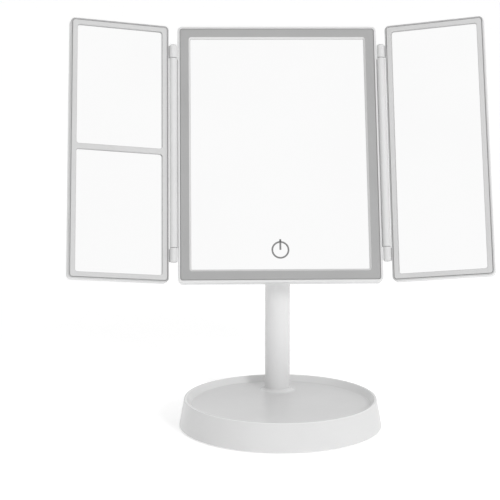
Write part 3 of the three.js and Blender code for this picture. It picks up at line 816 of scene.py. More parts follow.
@dataclass
class TrayBase:
    """The round weighted base with its dished tray."""

    foot_radius: float = 80.3
    skirt_inside: float = 77.6
    well_radius: float = 73.4
    rim_radius: float = 76.06
    rim_inside: float = 74.42
    floor_radius: float = 70.7
    bottom: float = 0.5
    top: float = 22.3
    floor: float = 17.3
    under: float = 15.1
    stem_y: float = LEAN.stem_y
    stem_radius: float = 10.2
    flare_radius: float = 15.1
    flare_height: float = 2.75
    spigot_radius: float = 7.8
    spigot_top: float = 30.0
    seat_radius: float = 9.0
    bolt_hole: float = 3.3
    feet_at: float = 62.0
    foot_size: float = 6.5
    foot_height: float = 1.9
    screws_at: float = 66.0

    def flare(self) -> Surface:
        """The stem's socket: a flared foot on the floor, and a spigot that stands up in the tube.

        Along the flare the radius falls as 1 - sin a while the height rises as 1 - cos a, which makes a
        quarter of an ellipse.

        Returns:
            The surface in the frame.
        """
        clearance, sunk = 0.25, 1.2
        angle = np.linspace(0, math.pi / 2, 12)
        lip = self.stem_radius + clearance
        radius = lip + (self.flare_radius - lip) * (1 - np.sin(angle))
        height = self.floor - 0.01 + self.flare_height * (1 - np.cos(angle))
        curve = [(float(r), float(h), 0.0) for r, h in zip(radius, height)]
        below = [(0, self.floor - sunk, 0), (self.flare_radius + 1, self.floor - sunk, 0)]
        spigot = [(self.spigot_radius, curve[-1][1], 0), (self.spigot_radius, self.spigot_top, 0.5),
                  (0, self.spigot_top, 0)]
        return turned([*below, *curve, *spigot], 96).moved(at(y=self.stem_y))

    def tray(self) -> Surface:
        """The tray: a profile of its underside, skirt, lip, slope and floor, turned, with the stem's socket.

        Returns:
            The surface in the frame.
        """
        dish = turned([
            (0, self.under, 0), (self.well_radius, self.under, 1.0), (self.skirt_inside, self.bottom, 0),
            (self.foot_radius - 0.1, self.bottom, 0.7), (self.rim_radius, self.top, 0.8),
            (self.rim_inside, self.top, 0.8), (self.floor_radius, self.floor, 1.6), (0, self.floor, 0),
        ], 240, steps=6)
        to_stem = at(y=self.stem_y)
        seat = rod(self.seat_radius, low=10, high=16, segments=48).moved(to_stem)
        hole = rod(self.bolt_hole, low=0, high=40).moved(to_stem)
        return carve(dish, add=[self.flare(), seat], cut=[hole])

    def foot(self) -> Surface:
        """A rubber foot: a short turned pad with a ring-shaped groove in its sole.

        Returns:
            The surface about the origin.
        """
        (mouth_out, mouth_in), (groove_out, groove_in), deep = (4.6, 3.2), (4.4, 3.4), 0.5
        return turned([
            (0, self.foot_height, 0), (self.foot_size, self.foot_height, 0.2), (self.foot_size - 0.2, 0, 0.6),
            (mouth_out, 0, 0.15), (groove_out, deep, 0.15), (groove_in, deep, 0.15), (mouth_in, 0, 0.15),
            (0, 0, 0)], 48)

    def on_polish_and_painted_light(self, centres: Array, normals: Array) -> Array:
        """Find the tray's polished faces, painted brighter as painted light: the stem's flared socket, and
        the slope and lip round the floor.

        Args:
            centres: The faces' middles in millimetres.
            normals: The faces' normals.

        Returns:
            True for each polished face, which is painted brighter.
        """
        away = np.hypot(centres[:, 0], centres[:, 1] - self.stem_y)
        out = np.hypot(centres[:, 0], centres[:, 1])
        spare, facing_up, above = 0.3, 0.2, 0.01
        slope = (out > self.floor_radius + spare) & (out < self.rim_radius) & (normals[:, 2] > facing_up)
        return (centres[:, 2] > self.floor + above) & (slope | (away < self.flare_radius))

    def build(self) -> None:
        """Build the tray, its feet and the cover's screws, and dress the rest."""
        tray = add_piece("tray_moulding", self.tray(), Body.BASE, WHITE_ABS, ["base_tray"])
        # The flared socket and the tray's slope and lip are painted brighter: painted light.
        refinish(tray, POLISHED_PAINTED_LIGHT_ABS, self.on_polish_and_painted_light)
        for index, (x, y) in enumerate(on_circle(self.feet_at, (45, 135, 225, 315)), 1):
            add_piece(f"grooved_foot_{index}", self.foot().moved(at(x, y)), Body.BASE, MOULDED_RUBBER,
                      [f"rubber_foot_{index}"])
        screw = pan_screw(radius=2.9, under=0.0, top=1.2, shank=0.9, tip=-9.1)
        for index, (x, y) in enumerate(on_circle(self.screws_at, (30, 150, 270)), 1):
            add_piece(f"cover_screw_cross_{index}", screw.moved(head_down(x, y, self.foot_height)), Body.BASE,
                      ZINC_STEEL, [f"base_cover_screw_{index}"])
        dress(INNER_ABS, "base_bottom_cover")
        dress(PHOSPHATED_STEEL, "base_weight")


@dataclass
class Stem:
    """The round stem, and the tongue that plugs into it and carries the head."""

    radius: float = 10.2
    bore: float = 8.2
    foot: float = 20.1
    collar: float = 166.4
    plug_radius: float = 7.8
    plug_low: float = 150.7
    shoulder: float = 166.7
    flange: float = 169.7
    y: float = LEAN.stem_y
    pivot: float = LEAN.pivot_height
    tongue_half: float = 6.0
    tongue_radius: float = 8.0
    screw_height: float = 157.7

    def tongue(self) -> Surface:
        """The tongue: straight sides up to the pivot and a half circle over it, given thickness across.

        Returns:
            The surface in the frame.
        """
        sunk, gap, points = 1.0, 0.6, 6
        angle = np.linspace(0, math.pi, 25)
        arc = np.stack([self.tongue_radius * np.cos(angle), self.tongue_radius * np.sin(angle)], 1)
        sides = np.linspace(self.flange - sunk - self.pivot, -gap, points)
        right = np.stack([np.full(points, self.tongue_radius), sides], 1)
        left = right[::-1] * np.array([-1, 1])
        outline = np.concatenate([right, arc, left])
        return extruded(outline, -self.tongue_half, self.tongue_half, 0.7).moved(at(y=self.y, z=self.pivot))

    def head(self) -> Surface:
        """The plug with its flange and tongue, bored for the tilt bolt.

        Returns:
            The surface in the frame.
        """
        plug = turned([(0, self.plug_low, 0), (self.plug_radius, self.plug_low, 0.5),
                       (self.plug_radius, self.shoulder, 0), (self.radius, self.shoulder, 0.35),
                       (self.radius, self.flange, 1.0), (0, self.flange, 0)], 96).moved(at(y=self.y))
        bore = rod(LEAN.bolt_bore, -20, 20).moved(lying_across(self.y, self.pivot))
        return carve(plug, add=[self.tongue()], cut=[bore])

    def build(self) -> None:
        """Build the tube, the head that plugs into it, and its screw, and dress the rest."""
        tube = turned([(self.bore, self.foot, 0.2), (self.radius, self.foot, 0.2),
                       (self.radius, self.collar, 0.35), (self.bore, self.collar, 0.2)], 120, closed=True)
        # The stem's tube and head are painted brighter: painted light for the bounce light on them.
        add_piece("stem_tube_moulding", tube.moved(at(y=self.y)), Body.BASE, POLISHED_PAINTED_LIGHT_ABS, ["stem_tube"])
        add_piece("stem_tongue", self.head(), Body.BASE, POLISHED_PAINTED_LIGHT_ABS, ["stem_head"])
        screw = pan_screw(radius=2.5, under=self.radius - 0.1, top=self.radius + 1.7, shank=1.2, tip=3.6)
        add_piece("stem_screw_cross", screw.moved(facing_back(0, 0)).moved(at(y=self.y, z=self.screw_height)),
                  Body.BASE, ZINC_STEEL, ["stem_head_screw"])
        dress(ZINC_STEEL, "stem_foot_plug", "stem_bolt_washer", "stem_bolt")


# ---- Head -------------------------------------------------------------------------------------


@dataclass
class CentrePanel:
    """The centre panel: moulded shell, light band, mirror and touch mark."""

    width: float = 160.0
    height: float = 209.5
    depth: float = 11.0
    corner: float = 3.6
    wall: float = 1.8
    back_wall: float = 2.0
    band_width: float = 7.1
    bevel: float = 1.5
    glass_front: float = 1.9
    glass: float = 1.8
    housing: Outline = Outline(120.0, 84.0, 9.0, up=31.4)
    housing_back: float = 20.2
    housing_rim: float = 1.6
    housing_wall: float = 2.1
    door: Outline = Outline(53.4, 66.8, 1.0, up=39.8)
    door_front: float = 18.5
    barrel: tuple[float, float] = (-77.3, 77.3)
    lug: tuple[float, float] = (7.2, 12.0)
    lug_radius: float = 8.0
    screws_across: float = 60.0
    screws_up: float = 90.0
    socket_depth: float = 12.4
    socket_up: float = 20.0
    mark_up: float = -78.9

    @property
    def inset(self) -> float:
        """Distance from the panel's side to the edge of the band's window."""
        return self.wall + self.band_width + self.bevel

    def tub(self) -> Surface:
        """The shell: a profile from the pocket's floor over the lip and down the side, carried round.

        Returns:
            The surface in panel coordinates.
        """
        outline = Outline(self.width, self.height, self.corner)
        floor, reach = self.depth - self.back_wall, 12
        profile = rounded_profile([
            (reach, floor, 0), (self.wall, floor, 0.6), (self.wall, 0, 0.3), (0, 0, 0.8),
            (0, self.depth, 1.5), (reach, self.depth, 0)])
        return skin(outline.carry(profile[:, 0], profile[:, 1], arc=8))

    def ear(self, side: int) -> Surface:
        """A tilt lug: a tapered root and a round eye in depth and height, given its thickness across.

        Args:
            side: -1 for the left lug, 1 for the right.

        Returns:
            The surface in panel coordinates.
        """
        centre = np.array([LEAN.pivot_depth, -LEAN.pivot_drop])
        angle = np.linspace(-math.pi / 2, math.pi / 2, 25)
        eye = centre + self.lug_radius * np.stack([np.cos(angle), np.sin(angle)], 1)
        low = np.array([[9.5, centre[1] - 14], [13, centre[1] - 11], [16.5, centre[1] - 8]])
        high = low[::-1] * np.array([1, -1]) + np.array([0, 2 * centre[1]])
        inner, outer = sorted((side * self.lug[0], side * self.lug[1]))
        return extruded(np.concatenate([low, eye, high]), inner, outer, 0.6)

    def barrel_and_web(self, side: int) -> tuple[Surface, Surface]:
        """The long hinge barrel, and the web that joins it to the side wall.

        Args:
            side: -1 for the left barrel, 1 for the right.

        Returns:
            Barrel and web in panel coordinates.
        """
        low, high = self.barrel
        root, tip = side * (self.width / 2 - 1), side * Hinge.across
        barrel = rod(Hinge.barrel_radius, low, high, 64, 0.3).moved(at(tip, -Hinge.proud))
        strip = Outline(abs(tip - root), high - low - 0.6, 0.2, (root + tip) / 2, (low + high) / 2)
        return barrel, plate(strip, front=0.9, back=2.5, round_front=0.15, round_back=0.15)

    def pin_bores(self, side: int) -> list[Surface]:
        """The bores for the hinge pins in the ends of a barrel.

        Args:
            side: -1 for the left barrel, 1 for the right.

        Returns:
            The upper and the lower bore.
        """
        low, high = self.barrel
        past, deep = 1, 12
        return [rod(Hinge.pin_bore, start, end, 24).moved(at(side * Hinge.across, -Hinge.proud))
                for start, end in ((high - deep, high + past), (low - past, low + deep))]

    def doorway(self) -> list[Surface]:
        """The battery housing's hollow, its door's opening with the rails, and the opening over the cells.

        Returns:
            The cutters in panel coordinates.
        """
        house, door, front, back = self.housing, self.door, self.door_front, self.housing_back
        clear, rail, rail_depth, past = 0.3, 1.5, 0.9, 1
        half_cells, cells_low, cells_top = 24, 10.4, 66.4
        walls = 2 * self.housing_wall
        inside = Outline(house.width - walls, house.height - walls, 7, up=house.up)
        half, low = door.width / 2 + clear, door.up - door.height / 2 - clear
        top = house.up + house.height / 2 + past
        return [
            plate(inside, self.depth - 3.3, back - 2.4, 0.1, 0.8),
            brick((-half, front - clear, low), (half, back + past, top)),
            brick((-half - rail, front - clear - 0.01, low), (half + rail, front + rail_depth, top + 0.1)),
            brick((-half_cells, back - 4, cells_low), (half_cells, back - 0.2, cells_top)),
        ]

    def screw_seats(self) -> list[Surface]:
        """The counterbores for the four rear screws, slightly wider at the mouth.

        Returns:
            The cutters in panel coordinates.
        """
        floor, bend, mouth = self.depth - 1, self.depth - 0.2, self.depth + 0.6
        seat = turned([(0, floor, 0), (3, floor, 0.3), (3, bend, 0), (3.3, mouth, 0), (0, mouth, 0)], 40)
        return [seat.moved(facing_back(x, up)) for x in (-self.screws_across, self.screws_across)
                for up in (-self.screws_up, self.screws_up)]

    def stadium(self, half_length: float, radius: float, low: float, high: float) -> Surface:
        """A bar with round ends for the charging port: two half circles joined by straights, drawn across.

        Args:
            half_length: Half its length along the panel.
            radius: Radius of its ends.
            low: Lower end across.
            high: Upper end across.

        Returns:
            The surface in panel coordinates.
        """
        angle = np.linspace(-math.pi / 2, math.pi / 2, 13)
        straight = half_length - radius
        upper = np.stack([radius * np.cos(angle + math.pi / 2), straight + radius * np.cos(angle)], 1)
        outline = np.concatenate([upper[::-1], -upper[::-1]]) + np.array([self.socket_depth, self.socket_up])
        return extruded(outline, low, high, 0.12)

    def shell(self) -> Surface:
        """The whole rear moulding, with the battery housing, lugs and hinge barrels.

        Returns:
            The surface in panel coordinates.
        """
        side_wall = -self.housing.width / 2
        box = plate(self.housing, self.depth - 2.5, self.housing_back, 0.3, self.housing_rim, 6)
        slot = self.stadium(4.8, 1.9, side_wall - 1, side_wall + 4)
        bolt = rod(LEAN.bolt_bore, -20, 20).moved(lying_across(LEAN.pivot_depth, -LEAN.pivot_drop))
        adds = [box, self.ear(-1), self.ear(1), *self.barrel_and_web(-1), *self.barrel_and_web(1)]
        cuts = [*self.pin_bores(-1), *self.pin_bores(1), *self.doorway(), *self.screw_seats(), slot, bolt]
        return carve(self.tub(), adds, cuts)

    def light_band(self) -> Surface:
        """The frosted band: a ring from the shell's lip to the mirror, with an inner slope and a deep rim.

        Returns:
            The surface in panel coordinates.
        """
        gap, rim, rim_wall, reach = 0.22, 5, 1.4, 3
        front, ledge, back = 0.32, 1.6, 1.78
        outer = Outline(self.width - 2 * self.wall - 2 * gap, self.height - 2 * self.wall - 2 * gap, 1.6)
        window = Outline(self.width - 2 * self.inset, self.height - 2 * self.inset, 0.8)
        outside = rounded_profile([(reach, front, 0), (0, front, 0.3), (0, rim, 0.2), (rim_wall, rim, 0.2),
                                   (rim_wall, ledge, 0)])
        inside = rounded_profile([(-reach, back, 0), (0, back, 0), (0, ledge, 0),
                                  (-self.bevel, front + 0.02, 0.35), (-reach, front, 0)])
        return skin(np.concatenate([outer.carry(outside[:, 0], outside[:, 1]),
                                    window.carry(inside[:, 0], inside[:, 1])]), wrap_rows=True)

    def on_slope(self, centres: Array, normals: Array) -> Array:
        """Find the faces of the band's inner slope: near the window, and leaning away from the front.

        Args:
            centres: The faces' middles in millimetres.
            normals: The faces' normals.

        Returns:
            True for each face on the slope.
        """
        origin, front, up = LEAN.place(np.array([[0.0, 0, 0], [0, -1, 0], [0, 0, 1]]))
        spare, steepest, flattest = 0.3, 0.4, 0.97
        height = np.abs((centres - origin) @ (up - origin))
        facing = normals @ (front - origin)
        reach = self.wall + self.band_width - spare
        near = (np.abs(centres[:, 0]) < self.width / 2 - reach) & (height < self.height / 2 - reach)
        return near & (facing > steepest) & (facing < flattest)

    def touch_mark(self) -> list[tuple[str, Surface, "Finish"]]:
        """The printed mark on the glass: a ring, a bar from its top to its middle, and their darker crossing.

        Returns:
            A name, surface and finish for each printed part.
        """
        inner, outer, bar_up, crossing_up = 5.65, 7.0, 4.3, 6.75
        high, low = self.glass_front - 0.05, self.glass_front + 0.02
        ring = turned([(inner, low, 0), (outer, low, 0), (outer, high, 0.01), (inner, high, 0.01)], 96,
                      closed=True)
        bar = Outline(1.5, 8.6, 0.2, up=self.mark_up + bar_up)
        crossing = Outline(1.6, 1.9, 0.3, up=self.mark_up + crossing_up)
        return [("touch_mark_ring", ring.moved(facing_back(0, self.mark_up)), PRINTED_INK),
                ("touch_mark_bar", plate(bar, high - 0.01, low, 0.01, 0.01), PRINTED_INK),
                ("touch_mark_crossing", plate(crossing, high - 0.02, low, 0.01, 0.01), PRINTED_INK_TWICE)]

    def build(self) -> None:
        """Build and dress the centre panel."""
        add_piece("centre_shell_moulding", self.shell().moved(LEAN.place), Body.HEAD, WHITE_ABS,
                  ["centre_rear_shell"])
        # The band's borders are painted greyer: painted shade.
        band = add_piece("frosted_band", self.light_band().moved(LEAN.place), Body.HEAD, FROSTED_ACRYLIC,
                         ["light_band"], bend=(0.6, 2.0))
        # The band's inner slope is painted brighter: painted light.
        refinish(band, POLISHED_PAINTED_LIGHT_ACRYLIC, self.on_slope)
        tucked = 1.5
        border = 2 * (self.inset - tucked)
        pane = Outline(self.width - border, self.height - border, 1.5)
        glass = plate(pane, self.glass_front, self.glass_front + self.glass, 0.25, 0.15)
        add_piece("centre_mirror_pane", glass.moved(LEAN.place), Body.HEAD, SILVERED_GLASS, ["centre_mirror"])
        for name, surface, finish in self.touch_mark():
            add_piece(name, surface.moved(LEAN.place), Body.HEAD, finish)
        screw = pan_screw(radius=2.6, under=self.depth - 0.95, top=self.depth + 0.1, shank=0.9, tip=6.3)
        places = [(x, up) for up in (-self.screws_up, self.screws_up)
                  for x in (-self.screws_across, self.screws_across)]
        for index, (x, up) in enumerate(places, 1):
            surface = screw.moved(facing_back(x, up)).moved(LEAN.place)
            add_piece(f"rear_screw_cross_{index}", surface, Body.HEAD, ZINC_STEEL, [f"rear_screw_{index}"])
        dress(WHITE_BOARD, *[f"led_strip_{where}" for where in ("left", "right", "top", "bottom")])
        dress(BLOWN_FOAM, "mirror_adhesive_sheet")
        dress(ROLLED_COPPER, "touch_sensor")
        dress(INNER_ABS, "mirror_carrier")


@dataclass
class Power:
    """The cells behind the sliding door, the board and the charging port."""

    panel: CentrePanel
    cells: int = 4
    cell_radius: float = 5.2
    cell_length: float = 44.5
    cap_radius: float = 1.9
    pitch: float = 11.0
    cell_depth: float = 12.8
    cell_up: float = 38.4
    runner: float = 1.2
    ribs_up: float = 60.6
    rib_pitch: float = 2.4

    def door(self) -> Surface:
        """The sliding door: a plate with runners and grip ribs, its open end rounded to the housing's edge.

        Every point is held in front of the housing's rounded rim: depth is at most the rim's centre
        + sqrt(rim radius squared - height past the centre squared).

        Returns:
            The surface in panel coordinates.
        """
        panel, outline, round_rim = self.panel, self.panel.door, self.panel.housing_rim
        front, back = panel.door_front, panel.housing_back
        insets = np.array([1.2, 0, 0, 0.12, 0.4, 0.8, 1.2, 1.6, 2.4])
        depths = np.array([front, front + 0.12, back - 0.2, back - 0.06, *[back] * 5])
        slab = skin(outline.carry(insets, depths), flat_ends=True)
        top = panel.housing.up + panel.housing.height / 2
        past = np.maximum(slab.vertices[:, 2] - (top - round_rim), 0)
        limit = back - round_rim + np.sqrt(np.maximum(round_rim**2 - past**2, 0))
        slab.vertices[:, 1] = np.minimum(slab.vertices[:, 1], limit)
        length = outline.height - 2
        middle = outline.up - outline.height / 2 + length / 2
        strip = Outline(outline.width + 2 * self.runner, length, 0.5, up=middle)
        runners = plate(strip, front + 0.02, front + 0.6, 0.1, 0.1)
        heights = [self.ribs_up + self.rib_pitch * index for index in range(3)]
        ribs = [plate(Outline(16, 1.2, 0.55, up=up), back - 0.3, back + 0.5, 0.1, 0.35) for up in heights]
        return carve(slab, [runners, *ribs])

    def cell(self, up: int) -> Surface:
        """A cell: a sleeve turned over both ends, with a raised positive cap.

        Args:
            up: 1 with its cap on top, -1 with its cap below.

        Returns:
            The surface about its middle.
        """
        half, radius, cap = self.cell_length / 2, self.cell_radius, self.cap_radius
        profile = [(0, -half, 0), (radius - 1, -half, 0.2), (radius, -half, 0.5), (radius, half - 1, 0.5),
                   (radius - 1.3, half - 1, 0.2), (radius - 1.4, half - 1.2, 0), (cap + 0.05, half - 1.2, 0),
                   (cap, half, 0.3), (0, half, 0)]
        return turned([(r, up * z, c) for r, z, c in profile], 48)

    def port(self) -> Surface:
        """The charging port: a stadium sleeve with a thin tongue inside.

        Returns:
            The surface in panel coordinates.
        """
        panel = self.panel
        mouth, inner_end, wall = -58.6, -51.0, 0.4
        sleeve = panel.stadium(4.6, 1.8, mouth, inner_end)
        hollow = panel.stadium(4.6 - wall, 1.8 - wall, mouth - 1.4, inner_end - 1)
        tongue = plate(Outline(6.2, 6.6, 0.3, -54.4, panel.socket_up), 12.1, 12.75, 0.1, 0.1)
        return carve(carve(sleeve, cut=[hollow]), [tongue])

    def build(self) -> None:
        """Build the door, cells and port, and dress the rest."""
        add_piece("sliding_door_moulding", self.door().moved(LEAN.place), Body.DOOR, WHITE_ABS,
                  ["battery_door"], crease=10, bend=(40, 50))
        for index in range(self.cells):
            place = at((index - (self.cells - 1) / 2) * self.pitch, self.cell_depth, self.cell_up)
            surface = self.cell(1 if index % 2 else -1).moved(place).moved(LEAN.place)
            cell = add_piece(f"sleeved_cell_{index + 1}", surface, Body.HEAD, SHRUNK_SLEEVE,
                             [f"battery_cell_{index + 1}"])
            refinish(cell, ZINC_STEEL, self.bare_ends(place))
        add_piece("charging_port_sleeve", self.port().moved(LEAN.place), Body.HEAD, ZINC_STEEL,
                  ["charging_socket"])
        dress(INNER_ABS, "battery_tray")
        dress(ZINC_STEEL, *[f"battery_contact_{index + 1}" for index in range(self.cells)])
        dress(ETCHED_BOARD, "control_board")

    def bare_ends(self, place: Callable[[Array], Array]) -> Callable[[Array, Array], Array]:
        """A test for the faces of a cell that its sleeve leaves bare: near its axis, and near its ends.

        Args:
            place: The function that put the cell in its place on the panel.

        Returns:
            The test, for use by refinish.
        """
        sleeve, end = 1.1, 2.0
        middle, above = LEAN.place(place(np.array([[0.0, 0, 0], [0, 0, 1]])))
        along = above - middle

        def pick(centres: Array, normals: Array) -> Array:
            """Find the faces nearer the axis than the sleeve's edge, and near an end.

            Args:
                centres: The faces' middles in millimetres.
                normals: The faces' normals; not used.

            Returns:
                True for each bare face.
            """
            away = centres - middle
            height = away @ along
            radius = np.linalg.norm(away - height[:, None] * along, axis=1)
            return (radius < self.cell_radius - sleeve) & (np.abs(height) > self.cell_length / 2 - end)

        return pick


@dataclass
class TiltJoint:
    """The bolt, nut and washers that clamp the head to the stem's tongue."""

    y: float = LEAN.stem_y
    z: float = LEAN.pivot_height
    seat: float = 12.3
    nut_end: float = 15.6
    nut_corner: float = 4.2
    washer: tuple[float, float] = (6.3, 6.9)
    washer_radius: float = 7.0

    def nut(self) -> Surface:
        """The hexagon nut: six rounded corners given thickness across, with a bore.

        Returns:
            The surface about the pivot.
        """
        corners = [(x, y, 0.25) for x, y in on_circle(self.nut_corner, range(0, 360, 60))]
        hexagon = rounded_profile(corners, 3, closed=True)
        bore = rod(LEAN.bolt_bore, -20, 0).moved(lying_across(0, 0))
        return carve(extruded(hexagon, -self.nut_end, -self.seat, 0.3), cut=[bore])

    def build(self) -> None:
        """Build the bolt, the nut and both washers."""
        bolt = pan_screw(radius=4.0, under=self.seat, top=15.2, shank=2.4, tip=-16.0)
        add_piece("tilt_bolt_cross", bolt.moved(lying_across(self.y, self.z)), Body.HEAD, ZINC_STEEL,
                  ["tilt_bolt"])
        add_piece("tilt_nut_hexagon", self.nut().moved(at(y=self.y, z=self.z)), Body.HEAD, ZINC_STEEL,
                  ["tilt_nut"])
        bore, rim = LEAN.bolt_bore, self.washer_radius
        for side, word in ((-1, "left"), (1, "right")):
            low, high = sorted(side * face for face in self.washer)
            ring = turned([(bore, low, 0.1), (rim, low, 0.15), (rim, high, 0.15), (bore, high, 0.1)], 64,
                          closed=True)
            add_piece(f"nylon_washer_{word}", ring.moved(lying_across(self.y, self.z)), Body.HEAD,
                      MOULDED_NYLON, [f"friction_washer_{word}"])


# ---- Wings ------------------------------------------------------------------------------------


@dataclass
class Wing:
    """A side panel: shell, frame and one or two mirrors, drawn from its hinge axis."""

    label: str
    side: int
    open: float
    body: Body
    panes: tuple[tuple[str, float, float], ...]
    width: float = 79.4
    height: float = 209.4
    depth: float = 9.0
    corner: float = 3.6
    reach: float = 3.4
    face: float = 0.5
    lip: float = 1.2
    seam: float = 0.2
    back_wall: float = 1.6
    frame_width: float = 5.5
    glass: float = 1.8
    knuckles: tuple[tuple[float, float], ...] = ((77.6, 89.1), (-77.6, -89.1))

    @property
    def middle(self) -> float:
        """Distance of the wing's centre line from its hinge axis."""
        return self.side * (self.reach + self.width / 2)

    def place(self, points: Array) -> Array:
        """Wing coordinates to the frame."""
        return LEAN.place(Hinge(self.side, self.open).place(points))

    def knuckle(self, inner: float, outer: float) -> tuple[Surface, Surface, Surface]:
        """A knuckle with a domed outer end, the web behind it, and the bore for its pin.

        Args:
            inner: Height of its end next to the barrel.
            outer: Height of its domed end.

        Returns:
            Body, web and bore in wing coordinates.
        """
        radius, up = Hinge.barrel_radius, 1 if outer > inner else -1
        body = turned([(0, inner, 0), (radius, inner, 0.3), (radius, outer, 1.6), (0, outer, 0)], 64, steps=8)
        low, high = sorted((inner, outer))
        root = self.side * (self.reach + 0.8)
        strip = Outline(abs(root), high - low - 1.6, 0.3, root / 2, (low + high) / 2)
        web = plate(strip, front=self.face + 0.9, back=radius - 0.1, round_front=0.15, round_back=0.15)
        past, cap = 1, 2.4
        return body, web, rod(Hinge.pin_bore, *sorted((inner - up * past, outer - up * cap)), 24)

    def shell(self) -> Surface:
        """The moulding: a profile over the lip and round the back, carried round, with its knuckles.

        Returns:
            The surface in wing coordinates.
        """
        outline = Outline(self.width, self.height, self.corner, across=self.middle)
        front, back, reach = self.face, self.face + self.depth, 12
        floor = back - self.back_wall
        profile = rounded_profile([
            (reach, floor, 0), (self.lip, floor, 0.5), (self.lip, front, 0.2), (0, front, 0.9),
            (0, back, 1.3), (reach, back, 0)])
        tub = skin(outline.carry(profile[:, 0], profile[:, 1], arc=8))
        knuckles = [self.knuckle(inner, outer) for inner, outer in self.knuckles]
        solids = [solid for body, web, _ in knuckles for solid in (body, web)]
        return carve(tub, solids, [bore for _, _, bore in knuckles])

    def window(self, height: float, up: float) -> Surface:
        """The cutter for a mirror's window: its wall turns outwards at the front, to round the frame's edge.

        Args:
            height: Height of the window.
            up: Height of its middle.

        Returns:
            The cutter in wing coordinates.
        """
        outline = Outline(self.width - 2 * self.frame_width, height, 2.0, self.middle, up)
        front, radius, closing = self.face + 0.1, 0.35, 3
        angle = np.radians(np.linspace(0, 86, 6))
        inset = np.concatenate([[closing, 0], -radius * (1 - np.cos(angle)), [-radius, closing]])
        depth = np.concatenate([[front + 3] * 2, front + radius * (1 - np.sin(angle)), [front - 2] * 2])
        return skin(outline.carry(inset, depth, arc=10))

    def rim(self) -> Surface:
        """The frame between the shell's lip and the mirrors: a plate with a window for each mirror.

        Returns:
            The surface in wing coordinates.
        """
        seam = self.lip + self.seam
        outline = Outline(self.width - 2 * seam, self.height - 2 * seam, self.corner - seam, self.middle)
        flat = plate(outline, self.face + 0.1, self.face + 1.2, 0.4, 0.05, flat_ends=True)
        return carve(flat, cut=[self.window(height, up) for _, height, up in self.panes])

    def build(self) -> None:
        """Build and dress the wing."""
        # The shell's rolled lips and the rim carry painted shade: grey outlines, and a greyer rim.
        add_piece(f"{self.label}_wing_moulding", self.shell().moved(self.place), self.body, PANEL_ABS,
                  [f"{self.label}_wing_shell"])
        add_piece(f"{self.label}_wing_rim", self.rim().moved(self.place), self.body, FRAME_ABS,
                  [f"{self.label}_wing_frame"])
        tucked, front = 1, self.face + 1.5
        wide = self.width - 2 * self.frame_width + 2 * tucked
        for name, height, up in self.panes:
            outline = Outline(wide, height + 2 * tucked, 2.4, self.middle, up)
            glass = plate(outline, front, front + self.glass, 0.25, 0.15)
            add_piece(f"{name}_mirror_pane", glass.moved(self.place), self.body, SILVERED_GLASS,
                      [f"{name}_mirror"])
            dress(BLOWN_FOAM, f"{name}_adhesive_pad")
        dress(ZINC_STEEL, f"{self.label}_hinge_pin_top", f"{self.label}_hinge_pin_bottom")


# ---- Studio -----------------------------------------------------------------------------------


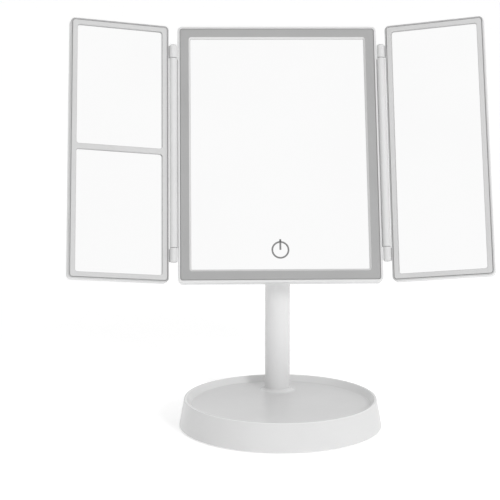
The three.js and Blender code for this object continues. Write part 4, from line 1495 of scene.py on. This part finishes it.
@dataclass
class Studio:
    """A plain pale floor, soft light from all round and a soft key at the front right, in metres."""

    floor_radius: float = 60.0
    floor_flat: float = 8.0
    floor_drop: float = 0.05 * MM
    camera_at: tuple[float, float, float] = (-0.0640, -1.1523, 0.3263)
    heading: float = 1.99
    fall: float = 9.16
    lens: float = 108.0
    key_at: tuple[float, float, float] = (0.75, -1.45, 0.75)
    key_aim: tuple[float, float, float] = (0.0, 0.0, 0.1)
    key_size: float = 0.4
    key_power: float = 8.4
    front: float = 0.4
    back: float = 0.85
    zenith: float = 0.94
    dark_side: float = 0.42
    floor_glow: float = 0.3

    def floor(self) -> None:
        """A disc that rises past its flat middle, so that its edge stays out of view.

        Past the flat radius, height is 0.0024 times the square of the distance past it.
        """
        radius = np.concatenate([[0.02], np.geomspace(0.1, self.floor_radius, 24)])
        angle = np.linspace(0, 2 * math.pi, 96, endpoint=False)
        rise = 0.0024 * np.maximum(radius - self.floor_flat, 0) ** 2 - self.floor_drop
        grid = np.stack([radius[:, None] * np.cos(angle), radius[:, None] * np.sin(angle),
                         rise[:, None] + 0 * angle], 2)
        mesh = raw_mesh("studio_floor", skin(grid, end=False))
        floor = bpy.data.objects.new("studio_floor", mesh)
        bpy.context.scene.collection.objects.link(floor)
        # Opal acrylic, cast matt and lit from beneath: an even pale white that keeps shadows faint.
        opal = Finish("matt_opal_acrylic", "", "#F8F8F8", "#F7F7F7", "#F8F8F8", (0.85, 0.95), 2.0, 0.0,
                      cloud=300, specular=0.1).material()
        shader = opal.node_tree.nodes["Principled BSDF"]
        shader.inputs["Emission Color"].default_value = (1.0, 1.0, 1.0, 1.0)
        shader.inputs["Emission Strength"].default_value = self.floor_glow
        mesh.materials.append(opal)

    def world(self) -> None:
        """Soft light from all round, brighter behind and overhead, dark far to the left, lit in front.

        Round the horizon strength goes smoothly from front to back as y rises, and to zenith as z rises. In a
        window of directions in front and above it goes to 1: the window is a product of smooth steps in z and
        in the size of x. Far to the left all of it is multiplied by dark_side.
        """
        world = bpy.data.worlds.new("studio_world")
        world.use_nodes = True
        tree = world.node_tree
        tree.nodes.clear()
        way = add_node(tree, "ShaderNodeTexCoord").outputs["Generated"]
        parts = add_node(tree, "ShaderNodeSeparateXYZ", Vector=way)

        def step(axis: bpy.types.NodeSocket, start: float, end: float, low: Any,
                 high: Any) -> bpy.types.NodeSocket:
            """A smooth step along an axis, from one value to another."""
            return add_node(tree, "ShaderNodeMapRange", {"interpolation_type": "SMOOTHSTEP"}, Value=axis,
                            From_Min=start, From_Max=end, To_Min=low, To_Max=high).outputs["Result"]

        def combine(operation: str, one: Any, two: Any) -> bpy.types.NodeSocket:
            """Two values put together by a Math node."""
            return add_node(tree, "ShaderNodeMath", {"operation": operation}, in_0=one, in_1=two).outputs[0]

        x, y, z = (parts.outputs[axis] for axis in "XYZ")
        around = step(y, -0.3, 0.3, self.front, self.back)
        sky = step(z, 0.7, 0.95, around, self.zenith)
        window = combine("MULTIPLY", step(z, 0.3, 0.45, 0.0, 1.0), step(z, 0.68, 0.8, 1.0, 0.0))
        window = combine("MULTIPLY", window, step(combine("ABSOLUTE", x, 0.0), 0.52, 0.66, 1.0, 0.0))
        window = combine("MULTIPLY", window, step(y, -0.55, -0.4, 1.0, 0.0))
        filled = step(window, 0.0, 1.0, sky, 1.0)
        whole = combine("MULTIPLY", filled, step(x, -0.85, -0.55, self.dark_side, 1.0))
        back = add_node(tree, "ShaderNodeBackground", Strength=whole)
        back.inputs["Color"].default_value = (1.0, 1.0, 1.0, 1.0)
        add_node(tree, "ShaderNodeOutputWorld", Surface=back.outputs[0])
        bpy.context.scene.world = world

    def key(self) -> None:
        """A soft box at the front right, aimed at the mirror."""
        light = bpy.data.lights.new("soft_box", "AREA")
        light.shape = "DISK"
        light.size = self.key_size
        light.energy = self.key_power
        lamp = bpy.data.objects.new("soft_box", light)
        lamp.visible_glossy = False
        lamp.location = self.key_at
        aim = Vector(self.key_aim) - lamp.location
        lamp.rotation_euler = aim.to_track_quat("-Z", "Y").to_euler()
        bpy.context.scene.collection.objects.link(lamp)

    def camera(self) -> None:
        """A long lens a little above the mirror, looking slightly down."""
        data = bpy.data.cameras.new("camera")
        data.lens = self.lens
        data.sensor_width = 36.0
        camera = bpy.data.objects.new("camera", data)
        camera.location = self.camera_at
        turn, fall = math.radians(self.heading), math.radians(self.fall)
        way = Vector((math.sin(turn) * math.cos(fall), math.cos(turn) * math.cos(fall), -math.sin(fall)))
        camera.rotation_euler = way.to_track_quat("-Z", "Y").to_euler()
        bpy.context.scene.collection.objects.link(camera)
        bpy.context.scene.camera = camera

    def build(self) -> None:
        """Set up floor, light and camera."""
        self.floor()
        self.world()
        self.key()
        self.camera()
        bpy.context.scene.view_settings.view_transform = "Standard"


def main() -> None:
    """Build the mirror and the studio round it."""
    logging.basicConfig(level=logging.INFO, format="%(name)s: %(message)s")
    full, divider = 198.5, 4.5
    pane = (full - divider) / 2
    offset = (pane + divider) / 2
    panel = CentrePanel()
    parts = [
        TrayBase(),
        Stem(),
        panel,
        Power(panel),
        TiltJoint(),
        Wing("left", -1, 15.6, Body.LEFT_WING, (("left_upper", pane, offset), ("left_lower", pane, -offset))),
        Wing("right", 1, 17.5, Body.RIGHT_WING, (("right", full, 0.0),)),
        Studio(),
    ]
    for part in parts:
        part.build()


if __name__ == "__main__":
    main()
